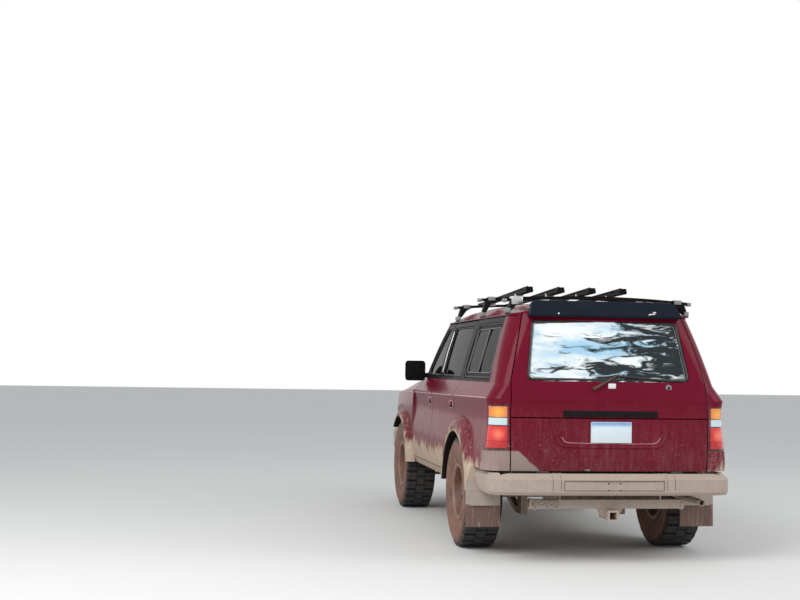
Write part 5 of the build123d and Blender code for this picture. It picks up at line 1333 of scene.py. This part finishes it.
def press(vert, channels, roundness):
    """Moves a cube's vertex to its place on the rounded, crowned and sewn pad."""
    u, v, w = vert.co
    reach = sum(abs(c) ** roundness for c in (u, v, w)) ** (1 / roundness)
    u, v, w = u / reach, v / reach, w / reach
    groove = sum(math.exp(-(((u - at) / CHANNEL_WIDTH) ** 2)) for at in channels)
    w *= (1.0 - CROWN * (u * u + v * v)) * (1.0 - CHANNEL_DEPTH * min(groove, 1.0))
    narrow = 1.0 - SIDE_WAIST * (1 - v * v) * abs(u) ** 3
    pull = 1.0 - WAIST * (1 - u * u) * abs(v) ** 3
    vert.co = (u * narrow, v * pull, w)


def pad(name, middle, size, tilt, channels, roundness=5.0):
    """A crowned pad with sewn channels across its upper face. Its own Z is its thin way."""
    bm = bmesh.new()
    bmesh.ops.create_cube(bm, size=2.0)
    bmesh.ops.subdivide_edges(bm, edges=bm.edges[:], cuts=CUTS, use_grid_fill=True)
    for vert in bm.verts:
        press(vert, channels, roundness)
    every_way = {"use_axis_x": True, "use_axis_y": True, "use_axis_z": True}
    bmesh.ops.smooth_vert(bm, verts=bm.verts[:], factor=0.35, **every_way)
    turn = Matrix.Rotation(tilt, 4, "X")
    half = [value / 2 for value in size]
    matrix = Matrix.Translation(middle) @ turn @ Matrix.Diagonal((*half, 1.0))
    bmesh.ops.transform(bm, matrix=matrix, verts=bm.verts[:])
    made = piece(name, bm, seat_cloth, "body")
    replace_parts(made, "seats")
    welt = outline(oblong((-0.93, 0.93), (-0.93, 0.93)), 0.0, 0.20)
    welt = [matrix @ Vector((a, b, PIPING_UP)) for a, b in welt]
    line(name + "_piping", welt, 0.0032, satin_black, "body", closed=True)
    return made


print("each pad starts as a cube with", CUTS, "cuts along every edge")

# %% [markdown]
# ## Front seats
#
# A front seat is a cushion, a leaning back and a headrest on two posts, over a dark base on its rails.
# The two seats are alike, so one table of pads serves both.

# %% Front seats
FRONT_PADS = {
    "seat_cushion": ((-0.055, 0.862), (0.480, 0.440, 0.120), -4, (-0.52, 0.52)),
    "seat_back": ((0.215, 1.150), (0.470, 0.555, 0.125), 72.5, (-0.50, 0.50)),
    "headrest": ((0.322, 1.502), (0.250, 0.165, 0.082), 79, ()),
}

for place_name, x in (("left", 0.370), ("right", -0.370)):
    for stem, ((y, z), size, tilt, channels) in FRONT_PADS.items():
        pad(f"{stem}_{place_name}", (x, y, z), size, math.radians(tilt), channels)
    base = bmesh.new()
    block(base, (x - 0.225, x + 0.225), (-0.20, 0.15), (0.643, 0.808), 0.012)
    for rail in (x - 0.19, x + 0.19):
        block(base, (rail - 0.02, rail + 0.02), (-0.26, 0.20), (0.641, 0.672), 0.004)
    for post_x in (x - 0.06, x + 0.06):
        rod(base, (post_x, 0.292, 1.390), (post_x, 0.316, 1.470), 0.007)
    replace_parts(piece(f"seat_base_{place_name}", base, satin_black, "body"), "seats")
print("pads of the front seats", 2 * len(FRONT_PADS))

# %% [markdown]
# ## Rear bench
#
# Behind them is one wide bench, a cushion and a back on a dark base, made with the same pad.

# %% Rear bench
pad("bench_cushion", (0.0, 0.680, 0.846), (1.170, 0.375, 0.120), math.radians(-3), (-0.36, 0.36))
pad("bench_back", (0.0, 0.985, 1.105), (1.170, 0.450, 0.120), math.radians(73), (-0.36, 0.36))
bench_base = bmesh.new()
block(bench_base, (-0.58, 0.58), (0.560, 0.828), (0.643, 0.790), 0.012)
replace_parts(piece("bench_base", bench_base, satin_black, "body"), "seats")

# %% [markdown]
# ## Floor
#
# A pale floor takes the vehicle's shadow. It is one large square, and a faint noise keeps it from
# looking printed. It belongs to the picture and not to the vehicle.

# %% Floor
FLOOR_SIZE = 60.0
pale, pale_tree, pale_shader = finish_of("pale floor", Roughness=0.85)
pale_shade = noise(pale_tree, place(pale_tree), 0.6, 3.0)
pale_tone = mix(pale_tree, pale_shade, (0.70, 0.69, 0.67, 1.0), (0.74, 0.73, 0.71, 1.0))
pale_tree.links.new(pale_tone, pale_shader.inputs["Base Color"])
floor_mesh = bpy.data.meshes.new("floor")
floor_bm = bmesh.new()
bmesh.ops.create_grid(floor_bm, x_segments=1, y_segments=1, size=FLOOR_SIZE)
floor_bm.to_mesh(floor_mesh)
floor_bm.free()
floor_mesh.materials.append(pale)
floor = bpy.data.objects.new("floor", floor_mesh)
bpy.context.scene.collection.objects.link(floor)
print("floor reaches", FLOOR_SIZE, "m each way")

# %% [markdown]
# ## World
#
# The world gives an even, slightly cool light. What the camera sees behind the vehicle is plain
# white. The Light Path node keeps the two apart: rays from the camera, and rays that a mirror or
# glass sends on, meet the white backdrop, and the light on the vehicle stays soft.

# %% World
world = bpy.data.worlds.new("pale studio")
world.use_nodes = True
sky = world.node_tree
lighting = sky.nodes["Background"]
lighting.inputs["Color"].default_value = (0.90, 0.95, 1.0, 1.0)
lighting.inputs["Strength"].default_value = 0.62
backdrop = node(sky, "Background", [("Color", (1.0, 1.0, 1.0, 1.0)), ("Strength", 1.0)])
path = node(sky, "LightPath").outputs
rays = calc(sky, "ADD", path["Is Camera Ray"], path["Is Glossy Ray"])
rays = calc(sky, "ADD", rays, path["Is Transmission Ray"], clamp=True)
either = node(sky, "MixShader", [(0, rays), (1, lighting.outputs[0]), (2, backdrop.outputs[0])])
sky.links.new(either.outputs[0], sky.nodes["World Output"].inputs[0])
bpy.context.scene.world = world
print("world light", round(lighting.inputs["Strength"].default_value, 2))

# %% [markdown]
# ## Lamps
#
# Two large square lamps shape the panels. The key lamp stands high behind the vehicle's left corner,
# on the camera's side, and the weaker fill lamp on the right. Large lamps give soft shadow edges.


# %% Lamps
def soft_lamp(name, at, towards, size, power):
    """A square area lamp aimed at a point."""
    data = bpy.data.lights.new(name, "AREA")
    data.size = size
    data.energy = power
    lamp = bpy.data.objects.new(name, data)
    lamp.location = at
    lamp.rotation_euler = (Vector(towards) - Vector(at)).to_track_quat("-Z", "Y").to_euler()
    bpy.context.scene.collection.objects.link(lamp)
    print(name, power, "W")


soft_lamp("key lamp", (6.0, 6.5, 7.0), (0, 1.0, 0.8), 5.0, 620.0)
soft_lamp("fill lamp", (-7.0, 5.0, 5.0), (0, 0, 0.9), 5.0, 260.0)

# %% [markdown]
# ## Camera
#
# The picture was taken from behind the vehicle's left rear corner with a normal lens. The camera's
# place, turn and tilt were worked out from points of known size on the body. Three small angles turn
# it: yaw to the side, pitch up or down, and roll.

# %% Camera
FOCAL_PIXELS, PICTURE_PIXELS, SENSOR_WIDTH = 1294.0, 800.0, 36.0
CAMERA_AT = Vector((2.934, 11.330, 1.406))
YAW, PITCH, ROLL = 0.1517, -0.0502, 0.0156

forward = Vector((-math.sin(YAW) * math.cos(PITCH), -math.cos(YAW) * math.cos(PITCH), -math.sin(PITCH)))
level_right = Vector((-math.cos(YAW), math.sin(YAW), 0.0))
level_up = level_right.cross(forward)
right = level_right * math.cos(ROLL) + level_up * math.sin(ROLL)
up = level_up * math.cos(ROLL) - level_right * math.sin(ROLL)
camera_data = bpy.data.cameras.new("camera")
camera_data.sensor_width = SENSOR_WIDTH
camera_data.lens = FOCAL_PIXELS / PICTURE_PIXELS * SENSOR_WIDTH
camera_data.clip_end = 200.0
camera = bpy.data.objects.new("camera", camera_data)
turn = Matrix((right, up, -forward)).transposed().to_4x4()
camera.matrix_world = Matrix.Translation(CAMERA_AT) @ turn
bpy.context.scene.collection.objects.link(camera)
bpy.context.scene.camera = camera
bpy.context.scene.view_settings.view_transform = "Standard"
print("lens", round(camera_data.lens, 1), "mm")

# %% [markdown]
# ## The last step
#
# The view layer is brought up to date at the end.

# %% Finish
bpy.context.view_layer.update()
